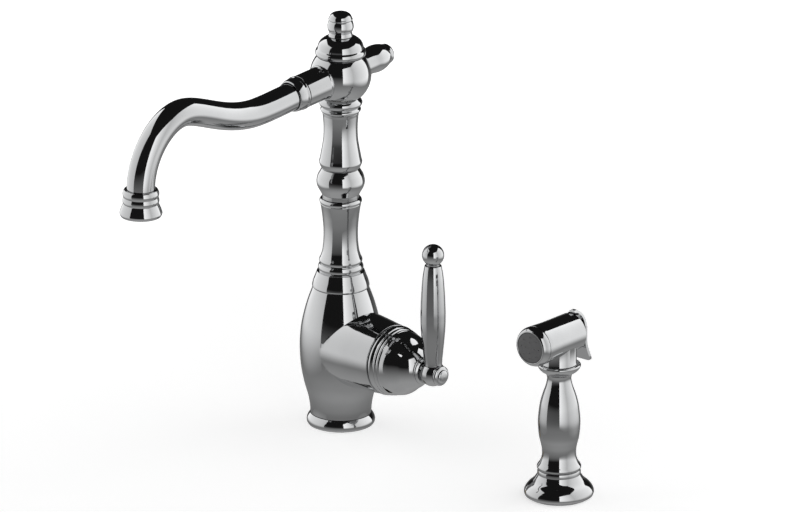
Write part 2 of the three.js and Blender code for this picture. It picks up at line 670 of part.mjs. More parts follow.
function crown(parent) {
  const dome = turned([
    [DOME_CAVITY_R, DOME_Z - RECESS_DEPTH + GAP], [RECESS_R - GAP, DOME_Z - RECESS_DEPTH + GAP],
    [RECESS_R - GAP, DOME_Z],
    ...shares([[DOME_R - 1.7, 0], [DOME_R, 0.13], [DOME_R - 0.6, 0.3], [DOME_R - 1.8, 0.37],
      [DOME_R - 2.8, 0.6], [DOME_R - 4.8, 0.76], [DOME_R - 8.3, 0.91], [DOME_TOP_R, 1]], DOME_Z, DOME_H),
    [STUD_R + GAP, DOME_Z + DOME_H], [STUD_R + GAP, DOME_Z + DOME_CAVITY_H],
    [DOME_CAVITY_R, DOME_Z + DOME_CAVITY_H],
  ]);
  add(parent, "dome_cap", dome, POLISHED);
  const finial = turned([
    [0, FINIAL_Z - FINIAL_STUD_L], [STUD_R, FINIAL_Z - FINIAL_STUD_L], [STUD_R, FINIAL_Z],
    ...shares([[FINIAL_R - 0.9, 0], [FINIAL_R - 1.7, 0.145], [FINIAL_R - 0.2, 0.3], [FINIAL_R, 0.4],
      [FINIAL_R - 1.3, 0.63], [FINIAL_R - 0.9, 0.7], [FINIAL_R - 1.7, 0.78], [FINIAL_R - 2.8, 0.885],
      [FINIAL_R - 5.6, 0.965], [0, 1]], FINIAL_Z, FINIAL_H),
  ]);
  add(parent, "finial", finial, POLISHED);
}

// ---- Faucet: spout tube, its sleeve at the hub and the bell at its end ----
const TUBE_HOLE = TUBE_R + LOOSE;
const TUBE_BORE = TUBE_R - TUBE_WALL;

function spoutPath() {
  const start = ARM_L + GAP;
  const tilt = radians(CROSS_TILT);
  const at = (reach, rise) => new THREE.Vector3(0, -reach, rise);
  const onArm = (distance) => at(distance * Math.cos(tilt), -distance * Math.sin(tilt));
  const path = new THREE.CurvePath();
  path.add(new THREE.CubicBezierCurve3(
    onArm(start), onArm(start + 14), at(TROUGH_REACH - 14, -TROUGH_DROP), at(TROUGH_REACH, -TROUGH_DROP)));
  path.add(new THREE.CubicBezierCurve3(
    at(TROUGH_REACH, -TROUGH_DROP), at(TROUGH_REACH + 35.9, -TROUGH_DROP),
    at(CREST_REACH - 20.2, CREST_RISE), at(CREST_REACH, CREST_RISE)));
  path.add(new THREE.CubicBezierCurve3(
    at(CREST_REACH, CREST_RISE), at(CREST_REACH + 22.7, CREST_RISE),
    at(SPOUT_REACH, 30.1 - BEND_DROP), at(SPOUT_REACH, -BEND_DROP)));
  path.add(new THREE.LineCurve3(at(SPOUT_REACH, -BEND_DROP), at(SPOUT_REACH, -TUBE_DROP)));
  return path;
}

function alongSpout(section) {
  const options = { steps: TUBE_STEPS, bevelEnabled: false, extrudePath: spoutPath() };
  return closed(new THREE.ExtrudeGeometry(section, options));
}

function spout(parent) {
  const centre = placed(parent, 0, 0, HUB_Z);
  const wall = new THREE.Shape(circle(TUBE_R, TUBE_SIDES));
  wall.holes.push(new THREE.Path(circle(TUBE_BORE, TUBE_SIDES)));
  add(centre, "spout_tube", alongSpout(wall), POLISHED);
  const sleeveFrom = ARM_L + GAP;
  const sleeve = turned([
    [0, sleeveFrom],
    ...shares([[SLEEVE_R - 0.8, 0], [SLEEVE_R, 0.15], [SLEEVE_R - 0.6, 0.32], [SLEEVE_R - 0.8, 0.8],
      [SLEEVE_R - 1.9, 1]],
    sleeveFrom, SLEEVE_L),
    [0, sleeveFrom + SLEEVE_L],
  ]);
  const tubeWay = alongSpout(new THREE.Shape(circle(TUBE_HOLE, TUBE_SIDES)));
  const mouthWay = rod(TUBE_HOLE, sleeveFrom - OVERRUN, sleeveFrom + OVERRUN, TUBE_SIDES);
  const hollowSleeve = cut(forward(sleeve, CROSS_TILT), tubeWay, forward(mouthWay, CROSS_TILT));
  add(centre, "spout_sleeve", hollowSleeve, POLISHED);

  const outlet = placed(centre, 0, -SPOUT_REACH, -TUBE_DROP);
  const ledgeTop = -GAP;
  const ledgeFoot = ledgeTop - LEDGE_T;
  const insertBore = AERATOR_R + GAP;
  const bell = turned([
    [insertBore, -BELL_BELOW],
    ...shares([[BELL_R - 0.9, 0], [BELL_R, 0.11], [BELL_R - 1.3, 0.3], [BELL_RING_R - 0.4, 0.45]],
      -BELL_BELOW, BELL_H),
    ...bead(BELL_RING_R, 0.7, -BELL_BELOW + 0.47 * BELL_H, -BELL_BELOW + 0.7 * BELL_H),
    ...bead(BELL_RING_R - 0.1, 0.7, -BELL_BELOW + 0.72 * BELL_H, -BELL_BELOW + 0.96 * BELL_H),
    [BELL_RING_R - 1.4, BELL_H - BELL_BELOW], [TUBE_HOLE, BELL_H - BELL_BELOW],
    [TUBE_HOLE, ledgeTop], [TUBE_BORE, ledgeTop], [TUBE_BORE, ledgeFoot], [insertBore, ledgeFoot],
  ]);
  add(outlet, "spout_bell", bell, POLISHED);
  const washerTop = ledgeFoot - GAP;
  const washerFoot = washerTop - AERATOR_WASHER_T;
  const insertTop = washerFoot - GAP;
  add(outlet, "aerator_washer", ring(TUBE_BORE, AERATOR_R, washerFoot, washerTop), RUBBER);
  const insert = rod(AERATOR_R, insertTop - AERATOR_H, insertTop, SIDES);
  const hole = rod(AERATOR_HOLE_R, insertTop - AERATOR_H - OVERRUN, insertTop + OVERRUN, 8);
  const holes = circle(AERATOR_R - 5 * AERATOR_HOLE_R, 6).map((p) => moved(hole, p.x, p.y, 0));
  add(outlet, "aerator_insert", cut(insert, hole, ...holes), STEEL);
}

// ---- Valve: the cartridge's stack along +X, each piece from the one before ----
const CART_X = VALVE_FLOOR + GAP;
const FIXED_DISC_X = CART_X + PLATE_T + GAP;
const MOVING_DISC_X = FIXED_DISC_X + DISC_T + GAP;
const DRIVER_X = MOVING_DISC_X + DISC_T + GAP;
const CARRIER_X = DRIVER_X + DRIVER_L + GAP;
const CARRIER_TOP_X = CARRIER_X + CARRIER_T;
const CART_LIP_X = CARRIER_TOP_X + GAP;
const CART_TOP_X = CART_LIP_X + CART_LIP_T;
const CHAMBER_BORE = CART_R - CART_WALL;
const PIVOT_X = CARRIER_TOP_X + PIVOT_RISE;
const LEVER_X = PIVOT_X + LEVER_REACH;
const STEM_MOUTH = STEM_R + LOOSE;

// Three bores through a disc's thickness: cold, hot and mixed.
function discHoles(from, to) {
  const hole = alongX(rod(DISC_HOLE_R, from - OVERRUN, to + OVERRUN));
  const [cold, hot] = PORTS;
  return [moved(hole, 0, cold.y, 0), moved(hole, 0, hot.y, 0), moved(hole, 0, 0, MIXED_RISE)];
}

function cartridge(axis) {
  const neckEnd = CART_TOP_X + CART_NECK_L;
  const shell = alongX(turned([
    [0, CART_X], [CART_R, CART_X], [CART_R, CART_TOP_X], [CART_NECK_R, CART_TOP_X], [CART_NECK_R, neckEnd],
    [CARRIER_NECK_R + LOOSE, neckEnd], [CARRIER_NECK_R + LOOSE, CART_LIP_X], [CHAMBER_BORE, CART_LIP_X],
    [CHAMBER_BORE, CART_X + PLATE_T], [0, CART_X + PLATE_T],
  ]));
  add(axis, "cartridge_body", cut(shell, ...discHoles(CART_X, CART_X + PLATE_T)), PLASTIC);

  const fixed = alongX(rod(CHAMBER_BORE - GAP, FIXED_DISC_X, FIXED_DISC_X + DISC_T, SIDES));
  add(axis, "fixed_disc", cut(fixed, ...discHoles(FIXED_DISC_X, FIXED_DISC_X + DISC_T)), CERAMIC);

  const moving = alongX(rod(DISC_R, MOVING_DISC_X, MOVING_DISC_X + DISC_T, SIDES));
  const pocket = alongX(rod(POCKET_R, MOVING_DISC_X - OVERRUN, MOVING_DISC_X + POCKET_DEPTH, FINE));
  add(axis, "moving_disc", cut(moving, moved(pocket, 0, 0, POCKET_RISE)), CERAMIC);

  const driver = alongX(rod(DISC_R, DRIVER_X, DRIVER_X + DRIVER_L, SIDES));
  const tipFrom = PIVOT_X - STEM_ARM - STEM_TIP_R - GAP;
  const tipSocket = alongX(rod(STEM_TIP_R + GAP, tipFrom, DRIVER_X + DRIVER_L + OVERRUN, FINE));
  add(axis, "disc_driver", cut(driver, tipSocket), PLASTIC);
}

function carrier(axis) {
  const neckEnd = CARRIER_TOP_X + CARRIER_NECK_L;
  const turnedPart = alongX(turned([
    [0, CARRIER_X], [CHAMBER_BORE - LOOSE, CARRIER_X], [CHAMBER_BORE - LOOSE, CARRIER_TOP_X],
    [CARRIER_NECK_R, CARRIER_TOP_X], [CARRIER_NECK_R, neckEnd], [0, neckEnd],
  ]));
  const [halfW, halfH] = [SLOT_W / 2, SLOT_H / 2];
  const slot = block(CARRIER_X - OVERRUN, neckEnd + OVERRUN, -halfW, halfW, -halfH, halfH);
  const pinHole = alongY(rod(PIVOT_PIN_R + GAP, -CARRIER_NECK_R - OVERRUN, CARRIER_NECK_R + OVERRUN));
  add(axis, "stem_carrier", cut(turnedPart, slot, moved(pinHole, PIVOT_X, 0, 0)), PLASTIC);
  const pinEnd = CARRIER_NECK_R - GAP;
  add(axis, "pivot_pin", moved(alongY(rod(PIVOT_PIN_R, -pinEnd, pinEnd)), PIVOT_X, 0, 0), STEEL);
}

// The way that the stem sweeps through the bonnet's round end: a sector with rounded corners, below
// the axis, because the lever's tipping takes the stem down and its turning takes it to each side.
function stemMouth(from, to) {
  const turn = radians(TURN_MAX);
  const reach = ROUND_R * Math.sin(radians(TIP_MAX));
  const [down, aside] = [reach * Math.cos(turn), reach * Math.sin(turn)];
  const outline = new THREE.Shape();
  outline.absarc(down, aside, STEM_MOUTH, turn, turn + Math.PI / 2);
  outline.absarc(0, 0, STEM_MOUTH, turn + Math.PI / 2, 1.5 * Math.PI - turn);
  outline.absarc(down, -aside, STEM_MOUTH, -turn - Math.PI / 2, -turn);
  outline.absarc(0, 0, reach + STEM_MOUTH, -turn, turn);
  const options = { depth: to - from, bevelEnabled: false, curveSegments: 4 };
  return alongX(new THREE.ExtrudeGeometry(outline, options).translate(0, 0, from));
}

function bonnet(axis) {
  const beadsFrom = HOUSING_END + GAP;
  const beadsTo = beadsFrom + BEADS_L;
  const [first, second] = [beadsFrom + 0.47 * BEADS_L, beadsFrom + 0.77 * BEADS_L];
  const roundFrom = PIVOT_X + ROUND_FROM;
  const roundFromR = Math.sqrt(ROUND_R ** 2 - ROUND_FROM ** 2);
  const dome = smooth([[DOME_SHOULDER_R, beadsTo + 0.7],
    [DOME_SHOULDER_R - 0.8, beadsTo + 0.3 * (roundFrom - beadsTo)],
    [DOME_SHOULDER_R - 2.5, beadsTo + 0.59 * (roundFrom - beadsTo)], [roundFromR, roundFrom]], 4);
  const round = (radius, from, to, steps) => arc(radius, from, to, steps).map(([r, x]) => [r, PIVOT_X + x]);
  const innerR = ROUND_R - ROUND_WALL;
  const neckBore = CART_NECK_R + GAP;
  const innerFrom = Math.sqrt(innerR ** 2 - neckBore ** 2);
  const solid = alongX(turned([
    [CART_R + GAP, HOUSING_END - THREAD_L], [THREAD_R, HOUSING_END - THREAD_L], [THREAD_R, beadsFrom],
    ...bead(BEAD_R, 1.5, beadsFrom, first), ...bead(BEAD_R - 1, 1, first + GAP, second),
    ...bead(BEAD_R - 1.8, 0.8, second + GAP, beadsTo),
    ...dome, ...round(ROUND_R, ROUND_FROM, ROUND_R, 5).slice(1, -1), [0, PIVOT_X + ROUND_R],
    [0, PIVOT_X + innerR], ...round(innerR, innerR, innerFrom, 3).slice(1),
    [neckBore, CART_TOP_X + GAP], [CART_R + GAP, CART_TOP_X + GAP],
  ]));
  const mouth = stemMouth(PIVOT_X, PIVOT_X + ROUND_R + OVERRUN);
  add(axis, "valve_bonnet", cut(solid, mouth), POLISHED);
}

// ---- Lever ----
function stem(axis) {
  const tip = arc(STEM_TIP_R, -STEM_TIP_R, Math.sqrt(STEM_TIP_R ** 2 - STEM_ARM_R ** 2), 6)
    .slice(1).map(([r, x]) => [r, PIVOT_X - STEM_ARM + x]);
  const bar = alongX(turned([
    [0, PIVOT_X - STEM_ARM - STEM_TIP_R], ...tip,
    [STEM_ARM_R, PIVOT_X - STEM_HUB_BACK - 1.5], [STEM_HUB_R, PIVOT_X - STEM_HUB_BACK],
    [STEM_HUB_R, PIVOT_X + STEM_HUB_FRONT], [STEM_R, PIVOT_X + STEM_FULL], [STEM_R, LEVER_X + STEM_PAST],
    [0, LEVER_X + STEM_PAST],
  ], FINE));
  const pinHole = alongY(rod(PIVOT_PIN_R + GAP, -STEM_R - OVERRUN, STEM_R + OVERRUN));
  add(axis, "lever_stem", cut(bar, moved(pinHole, PIVOT_X, 0, 0)), STEEL);

  const under = (r) => PIVOT_X + Math.sqrt((ROUND_R + LOOSE) ** 2 - r ** 2);
  const top = LEVER_X - BALL_INNER_FLAT - GAP;
  const rim = under(SKIRT_R);
  // Its shoulder ends short of the grip's foot, and its neck passes under that foot.
  const shoulder = LEVER_X - GRIP_FOOT_R - LOOSE;
  const neck = BALL_TOP_FLAT - GAP;
  const ridges = [SKIRT_R, SKIRT_R + 0.2, SKIRT_R - 0.9, SKIRT_R - 0.6, SKIRT_R - 2]
    .map((r, i) => [r, rim + ((shoulder - rim) * i) / 4]);
  const bore = STEM_R + GAP;
  const underside = [bore, 0.7 * SKIRT_R].map((r) => [r, under(r)]);
  const outline = [...ridges, [neck, shoulder], [neck, top], [bore, top], ...underside];
  add(axis, "lever_skirt", alongX(turned(outline)), POLISHED);
}

function leverBall(axis) {
  const globe = turned([[0, -BALL_INNER_FLAT], ...arc(LEVER_BALL_R, -BALL_INNER_FLAT, BALL_OUTER_FLAT, 6),
    [0, BALL_OUTER_FLAT]]);
  const stemBoreEnd = STEM_PAST + GAP;
  const shaped = cut(
    alongX(globe),
    rod(LEVER_BALL_R, BALL_TOP_FLAT, LEVER_BALL_R + OVERRUN),
    rod(GRIP_STUD_R + GAP, BALL_TOP_FLAT - GRIP_STUD_L - GAP, BALL_TOP_FLAT + OVERRUN, FINE),
    rod(SCREW_R + GAP, -LEVER_BALL_R - OVERRUN, 0),
    alongX(rod(STEM_R + GAP, -LEVER_BALL_R, stemBoreEnd, FINE)),
    alongX(rod(BUTTON_STUD_R + GAP, stemBoreEnd - OVERRUN, LEVER_BALL_R)),
  );
  const centre = placed(axis, LEVER_X, 0, 0);
  add(centre, "lever_ball", shaped, POLISHED);

  const button = turned([
    [0, -BUTTON_STUD_L], [BUTTON_STUD_R, -BUTTON_STUD_L], [BUTTON_STUD_R, 0],
    ...shares([[BUTTON_R - 0.8, 0], [BUTTON_R, 0.17], [BUTTON_R - 0.2, 0.39], [BUTTON_R - 1.3, 0.56],
      [BUTTON_R - 2.7, 0.62], [BUTTON_R - 3.3, 0.8], [0, 1]],
    0, BUTTON_H),
  ]);
  add(centre, "lever_button", moved(alongX(button), BALL_OUTER_FLAT + GAP, 0, 0), POLISHED);

  const screwTop = -STEM_R - GAP;
  const screwFoot = -Math.sqrt(LEVER_BALL_R ** 2 - SCREW_R ** 2) + GAP;
  const socket = rod(SCREW_SOCKET_R, screwFoot - OVERRUN, screwFoot + SCREW_SOCKET_DEPTH, 6);
  add(centre, "lever_screw", cut(rod(SCREW_R, screwFoot, screwTop), socket), STEEL);
  return centre;
}

function grip(centre) {
  const foot = BALL_TOP_FLAT + GAP;
  const top = foot + GRIP_H;
  const studHole = TOP_STUD_R + GAP;
  const outline = smooth(shares([
    [GRIP_FOOT_R, 0], [GRIP_FOOT_R + 0.3, 0.065], [GRIP_R - 0.4, 0.336], [GRIP_R, 0.4875],
    [GRIP_R - 0.1, 0.5775], [GRIP_R - 0.55, 0.697], [GRIP_R - 1.25, 0.822], [GRIP_R - 2.05, 0.909],
    [GRIP_TOP_R, 1],
  ], foot, GRIP_H), 8);
  add(centre, "lever_grip", turned([
    [0, foot - GRIP_STUD_L], [GRIP_STUD_R, foot - GRIP_STUD_L], [GRIP_STUD_R, foot], ...outline,
    [studHole, top], [studHole, top - TOP_STUD_L - GAP], [0, top - TOP_STUD_L - GAP],
  ]), POLISHED);

  // The ball stands on a short neck, which meets it where the ball is as wide.
  const ballFoot = Math.sqrt(TOP_BALL_R ** 2 - TOP_FOOT_R ** 2);
  const ball = arc(TOP_BALL_R, -ballFoot, TOP_BALL_R, 7).map(([r, z]) => [r, z + TOP_BALL_RISE]);
  const finial = turned([
    [0, -TOP_STUD_L], [TOP_STUD_R, -TOP_STUD_L], [TOP_STUD_R, 0], [TOP_FOOT_R, 0],
    ...ball.slice(0, -1), [0, TOP_BALL_RISE + TOP_BALL_R],
  ]);
  add(centre, "lever_finial", moved(finial, 0, 0, top + GAP), POLISHED);
}

// ---- Side spray: holder, handle and neck ----
const HANDLE_Z = HOLDER_H + GAP;
const HANDLE_FOOT = HANDLE_Z - HANDLE_SPIGOT_L;
const COUPLING_TOP = HANDLE_FOOT - GAP;
const HANDLE_TOP = HANDLE_Z + HANDLE_H;
const NECK_Z = HANDLE_TOP + GAP;
const NECK_TOP = NECK_Z + NECK_H;
const STUB_Z = NECK_TOP + GAP;

function holder(spray) {
  add(spray, "holder_gasket", gasket(HOLDER_GASKET_R), RUBBER);
  const shankEnd = -DECK - HOLDER_BELOW;
  const outside = smooth(shares([[HOLDER_R - 0.8, 0.075], [HOLDER_R, 0.18], [HOLDER_R - 0.8, 0.31],
    [HOLDER_R - 3.4, 0.46], [HOLDER_R - 7.5, 0.61], [HOLDER_TOP_R + 1, 0.755], [HOLDER_TOP_R - 0.2, 0.84]],
  0, HOLDER_H), 7);
  add(spray, "spray_holder", turned([
    [HOLDER_BORE, shankEnd], [HOLDER_SHANK_R, shankEnd], [HOLDER_SHANK_R, 0],
    ...gasketGroove(HOLDER_GASKET_R), [HOLDER_R - 3.6, 0], ...outside,
    [HOLDER_TOP_R, 0.92 * HOLDER_H], [HOLDER_TOP_R - 0.4, HOLDER_H], [HOLDER_BORE + 0.8, HOLDER_H],
    [HOLDER_BORE, HOLDER_H - 0.8],
  ]), POLISHED);
  const hole = HOLDER_SHANK_R + GAP;
  const nutTop = -DECK - STEEL_T - GAP;
  add(spray, "holder_washer", ring(hole, HOLDER_WASHER_R, -DECK - STEEL_T, -DECK), STEEL);
  add(spray, "holder_nut", hexagon(HOLDER_NUT_R, hole, nutTop - HOLDER_NUT_H, nutTop), BRASS);
}

function handle(spray) {
  const nippleR = HANDLE_BORE - GAP;
  add(spray, "hose_coupling", turned([
    [COUPLING_BORE, COUPLING_TOP - COUPLING_L], [COUPLING_R, COUPLING_TOP - COUPLING_L],
    [COUPLING_R, COUPLING_TOP], [nippleR, COUPLING_TOP], [nippleR, COUPLING_TOP + COUPLING_NIPPLE_L],
    [COUPLING_BORE, COUPLING_TOP + COUPLING_NIPPLE_L],
  ], FINE), BRASS);

  const spigotR = HOLDER_BORE - LOOSE;
  const outside = smooth(shares([
    [HANDLE_WAIST_R + 1.9, 0.075], [HANDLE_WAIST_R + 0.5, 0.12], [HANDLE_WAIST_R, 0.165],
    [HANDLE_WAIST_R + 0.3, 0.225], [HANDLE_R - 2.1, 0.287], [HANDLE_R - 0.9, 0.35], [HANDLE_R - 0.2, 0.434],
    [HANDLE_R, 0.519], [HANDLE_R - 0.9, 0.63], [HANDLE_R - 2, 0.71], [HANDLE_R - 4, 0.795],
    [HANDLE_NECK_R + 1.3, 0.875], [HANDLE_NECK_R, 0.95], [HANDLE_NECK_R + 0.7, 1],
  ], HANDLE_Z, HANDLE_H), 14);
  const socketR = NECK_PLUG_R + GAP;
  const socketFloor = HANDLE_TOP - NECK_PLUG_L - GAP;
  add(spray, "spray_handle", turned([
    [HANDLE_BORE, HANDLE_FOOT], [spigotR, HANDLE_FOOT], [spigotR, HANDLE_Z],
    [HANDLE_LIP_R - 0.8, HANDLE_Z], [HANDLE_LIP_R, HANDLE_Z + 1.4], [HANDLE_LIP_R, HANDLE_Z + 2.9],
    [HANDLE_LIP_R - 0.9, HANDLE_Z + 4.5], ...outside,
    [socketR, HANDLE_TOP], [socketR, socketFloor], [HANDLE_BORE, socketFloor],
  ]), POLISHED);

  const stubSocket = STUB_PLUG_R + GAP;
  const stubSocketFloor = NECK_TOP - STUB_PLUG_L - GAP;
  add(spray, "spray_neck", turned([
    [HANDLE_BORE, NECK_Z - NECK_PLUG_L], [NECK_PLUG_R, NECK_Z - NECK_PLUG_L], [NECK_PLUG_R, NECK_Z],
    ...shares([[HANDLE_NECK_R + 0.9, 0], [NECK_R - 6.4, 0.08], [NECK_R - 4.4, 0.22], [NECK_R - 2.1, 0.43],
      [NECK_R - 0.6, 0.67], [NECK_R, 0.88], [NECK_R - 0.6, 1]], NECK_Z, NECK_H),
    [stubSocket, NECK_TOP], [stubSocket, stubSocketFloor], [HANDLE_BORE, stubSocketFloor],
  ]), POLISHED);
}

// ---- Side spray: head. Its own origin is on its axis, over the handle, with the front at -Y ----
function head(centre) {
  const tube = forward(turned([
    [0, -HEAD_BACK], [HEAD_R - 0.8, -HEAD_BACK], [HEAD_R, 0.8 - HEAD_BACK], [HEAD_R, 0.45 * HEAD_FRONT],
    [HEAD_FRONT_R - 0.2, 0.85 * HEAD_FRONT], [HEAD_FRONT_R, HEAD_FRONT], [0, HEAD_FRONT],
  ]));
  const stub = turned([
    [0, -HEAD_RISE - STUB_PLUG_L], [STUB_PLUG_R, -HEAD_RISE - STUB_PLUG_L], [STUB_PLUG_R, -HEAD_RISE],
    [STUB_R + 0.6, -HEAD_RISE], [STUB_R, 1.6 - HEAD_RISE], [STUB_R, 0], [0, 0],
  ]);
  const [lugFoot, lugTop] = [TRIGGER_PIN_RISE - KNUCKLE_R, TRIGGER_PIN_RISE + KNUCKLE_R];
  const lug = join(
    block(-LUG_W / 2, LUG_W / 2, HEAD_BACK - 2, TRIGGER_PIN_BACK, lugFoot, lugTop),
    moved(alongX(rod(KNUCKLE_R, -LUG_W / 2, LUG_W / 2)), 0, TRIGGER_PIN_BACK, TRIGGER_PIN_RISE),
  );
  const pinHole = alongX(rod(TRIGGER_PIN_R + GAP, -LUG_W, LUG_W));
  const shaped = cut(
    join(tube, stub, lug),
    forward(rod(HEAD_BORE, WEB_FRONT, HEAD_FRONT + OVERRUN, SIDES)),
    forward(rod(BACK_BORE, -HEAD_BACK - OVERRUN, WEB_FRONT - WEB_T, FINE)),
    moved(forward(rod(VALVE_PORT_R, 0, WEB_FRONT + OVERRUN)), 0, 0, -PLUNGER_DROP),
    rod(HANDLE_BORE, -HEAD_RISE - STUB_PLUG_L - OVERRUN, -BACK_BORE / 2),
    moved(pinHole, 0, TRIGGER_PIN_BACK, TRIGGER_PIN_RISE),
  );
  add(centre, "spray_head", shaped, POLISHED);
}

function nozzle(centre) {
  const from = HEAD_FRONT + GAP;
  const ledge = from + NOZZLE_L - FACE_T;
  const spigotR = HEAD_BORE - GAP;
  const shell = turned([
    [NOZZLE_BORE, from - NOZZLE_SPIGOT_L], [spigotR, from - NOZZLE_SPIGOT_L], [spigotR, from],
    ...shares([[HEAD_FRONT_R - 0.2, 0], [HEAD_FRONT_R, 0.12], [HEAD_FRONT_R - 0.2, 0.4],
      [HEAD_FRONT_R - 1, 0.72], [NOZZLE_LIP_R + 0.9, 0.93], [NOZZLE_LIP_R, 1]], from, NOZZLE_L),
    [FACE_R + GAP, from + NOZZLE_L], [FACE_R + GAP, ledge], [NOZZLE_BORE, ledge],
  ]);
  add(centre, "spray_nozzle", forward(shell), POLISHED);

  const back = ledge + GAP;
  const front = back + FACE_T;
  const disc = turned([[0, back], [FACE_R, back], [FACE_R, front - FACE_DOME],
    [0.7 * FACE_R, front - 0.3 * FACE_DOME], [0, front]]);
  const hole = rod(FACE_HOLE_R, back - OVERRUN, front + OVERRUN, 6);
  const holes = FACE_RINGS.flatMap(([count, radius]) =>
    circle(radius, count).map((p) => moved(hole, p.x, p.y, 0)));
  add(centre, "spray_face", forward(cut(disc, ...holes)), GREY_FACE);
}

class Coil extends THREE.Curve {
  constructor(radius, length, turns) {
    super();
    Object.assign(this, { radius, length, turns });
  }

  getPoint(t) {
    const angle = 2 * Math.PI * this.turns * t;
    return new THREE.Vector3(this.radius * Math.cos(angle), this.radius * Math.sin(angle), this.length * t);
  }
}

function sprayValve(centre) {
  const capFrom = HEAD_BACK + GAP;
  const capEnd = capFrom + BACK_CAP_T;
  const cap = turned([
    [0, capFrom - BACK_PLUG_L], [BACK_BORE - GAP, capFrom - BACK_PLUG_L], [BACK_BORE - GAP, capFrom],
    [BACK_CAP_R, capFrom], [BACK_CAP_R - 0.2, capEnd - BACK_CAP_DOME], [0.6 * BACK_CAP_R, capEnd - 0.2],
    [0, capEnd],
  ], FINE);
  const way = moved(rod(PLUNGER_R + GAP, 0, capEnd + OVERRUN), 0, PLUNGER_DROP, 0);
  add(centre, "spray_back_cap", alongY(cut(cap, way)), POLISHED);

  const plungerLine = placed(centre, 0, 0, -PLUNGER_DROP);
  const back = TRIGGER_BACK - TRIGGER_T / 2 - LOOSE;
  const discFrom = WEB_FRONT + GAP;
  const shoulderFront = -PLUNGER_SHOULDER_AT;
  const shoulderBack = shoulderFront - PLUNGER_SHOULDER_T;
  const plunger = turned([
    [0, -back], [PLUNGER_R, -back], [PLUNGER_R, shoulderBack], [PLUNGER_SHOULDER_R, shoulderBack],
    [PLUNGER_SHOULDER_R, shoulderFront], [PLUNGER_R, shoulderFront], [PLUNGER_R, discFrom],
    [VALVE_DISC_R, discFrom], [VALVE_DISC_R, discFrom + VALVE_DISC_T], [0, discFrom + VALVE_DISC_T],
  ], FINE);
  add(plungerLine, "spray_plunger", forward(plunger), STEEL);

  const springFrom = shoulderFront + GAP + SPRING_WIRE_R;
  const springTo = WEB_FRONT - WEB_T - GAP - SPRING_WIRE_R;
  const coil = new Coil(SPRING_R, springTo - springFrom, SPRING_TURNS);
  const wire = new THREE.Shape(circle(SPRING_WIRE_R, 5));
  const options = { steps: 8 * SPRING_TURNS, bevelEnabled: false, extrudePath: coil };
  const spring = closed(new THREE.ExtrudeGeometry(wire, options).translate(0, 0, springFrom));
  add(plungerLine, "plunger_spring", forward(spring), STEEL);
}

// ---- Side spray: trigger ----

// A closed outline round a smooth line, half the thickness to each side.
function strip(line, thickness, count) {
  const spline = new THREE.SplineCurve(line.map(([a, b]) => new THREE.Vector2(a, b)));
  const [left, right] = [[], []];
  for (let i = 0; i <= count; i += 1) {
    const point = spline.getPoint(i / count);
    const along = spline.getTangent(i / count);
    const side = new THREE.Vector2(-along.y, along.x).multiplyScalar(thickness / 2);
    left.push(point.clone().add(side));
    right.unshift(point.clone().sub(side));
  }
  return new THREE.Shape([...left, ...right]);
}

// The trigger's plate from the side: its top curls forward over the pin and its foot stands out.
function triggerSide() {
  const crest = TRIGGER_TOP - TRIGGER_T / 2;
  const foot = TRIGGER_T / 2 - TRIGGER_FOOT;
  const paddle = TRIGGER_FOOT - TRIGGER_BEND;
  return strip([
    [TRIGGER_PIN_BACK - 2.4, crest], [TRIGGER_PIN_BACK + 1.2, crest - 1.1], [TRIGGER_BACK - 0.3, crest - 4.6],
    [TRIGGER_BACK, crest - 9], [TRIGGER_BACK, 0], [TRIGGER_BACK, -TRIGGER_BEND],
    [TRIGGER_BACK + 0.25 * TRIGGER_KICK, -TRIGGER_BEND - 0.33 * paddle],
    [TRIGGER_BACK + TRIGGER_KICK, foot],
  ], TRIGGER_T, 14);
}

// And from the front: a tongue with a rounded top and foot.
function triggerFront() {
  const half = [[2.6, TRIGGER_TOP - 1.3], [TRIGGER_HALF_W - 4.6, TRIGGER_TOP - 4.6],
    [TRIGGER_HALF_W - 1.5, TRIGGER_TOP - 9.4], [TRIGGER_HALF_W, TRIGGER_TOP - 14.2],
    [TRIGGER_HALF_W, 4 - TRIGGER_FOOT], [TRIGGER_HALF_W - 1, 1.6 - TRIGGER_FOOT],
    [TRIGGER_HALF_W - 3.6, 0.2 - TRIGGER_FOOT]];
  const mirrored = half.slice().reverse().map(([w, z]) => [-w, z]);
  const outline = [[0, TRIGGER_TOP], ...half, ...mirrored];
  return new THREE.Shape(outline.map(([w, z]) => new THREE.Vector2(w, z)));
}

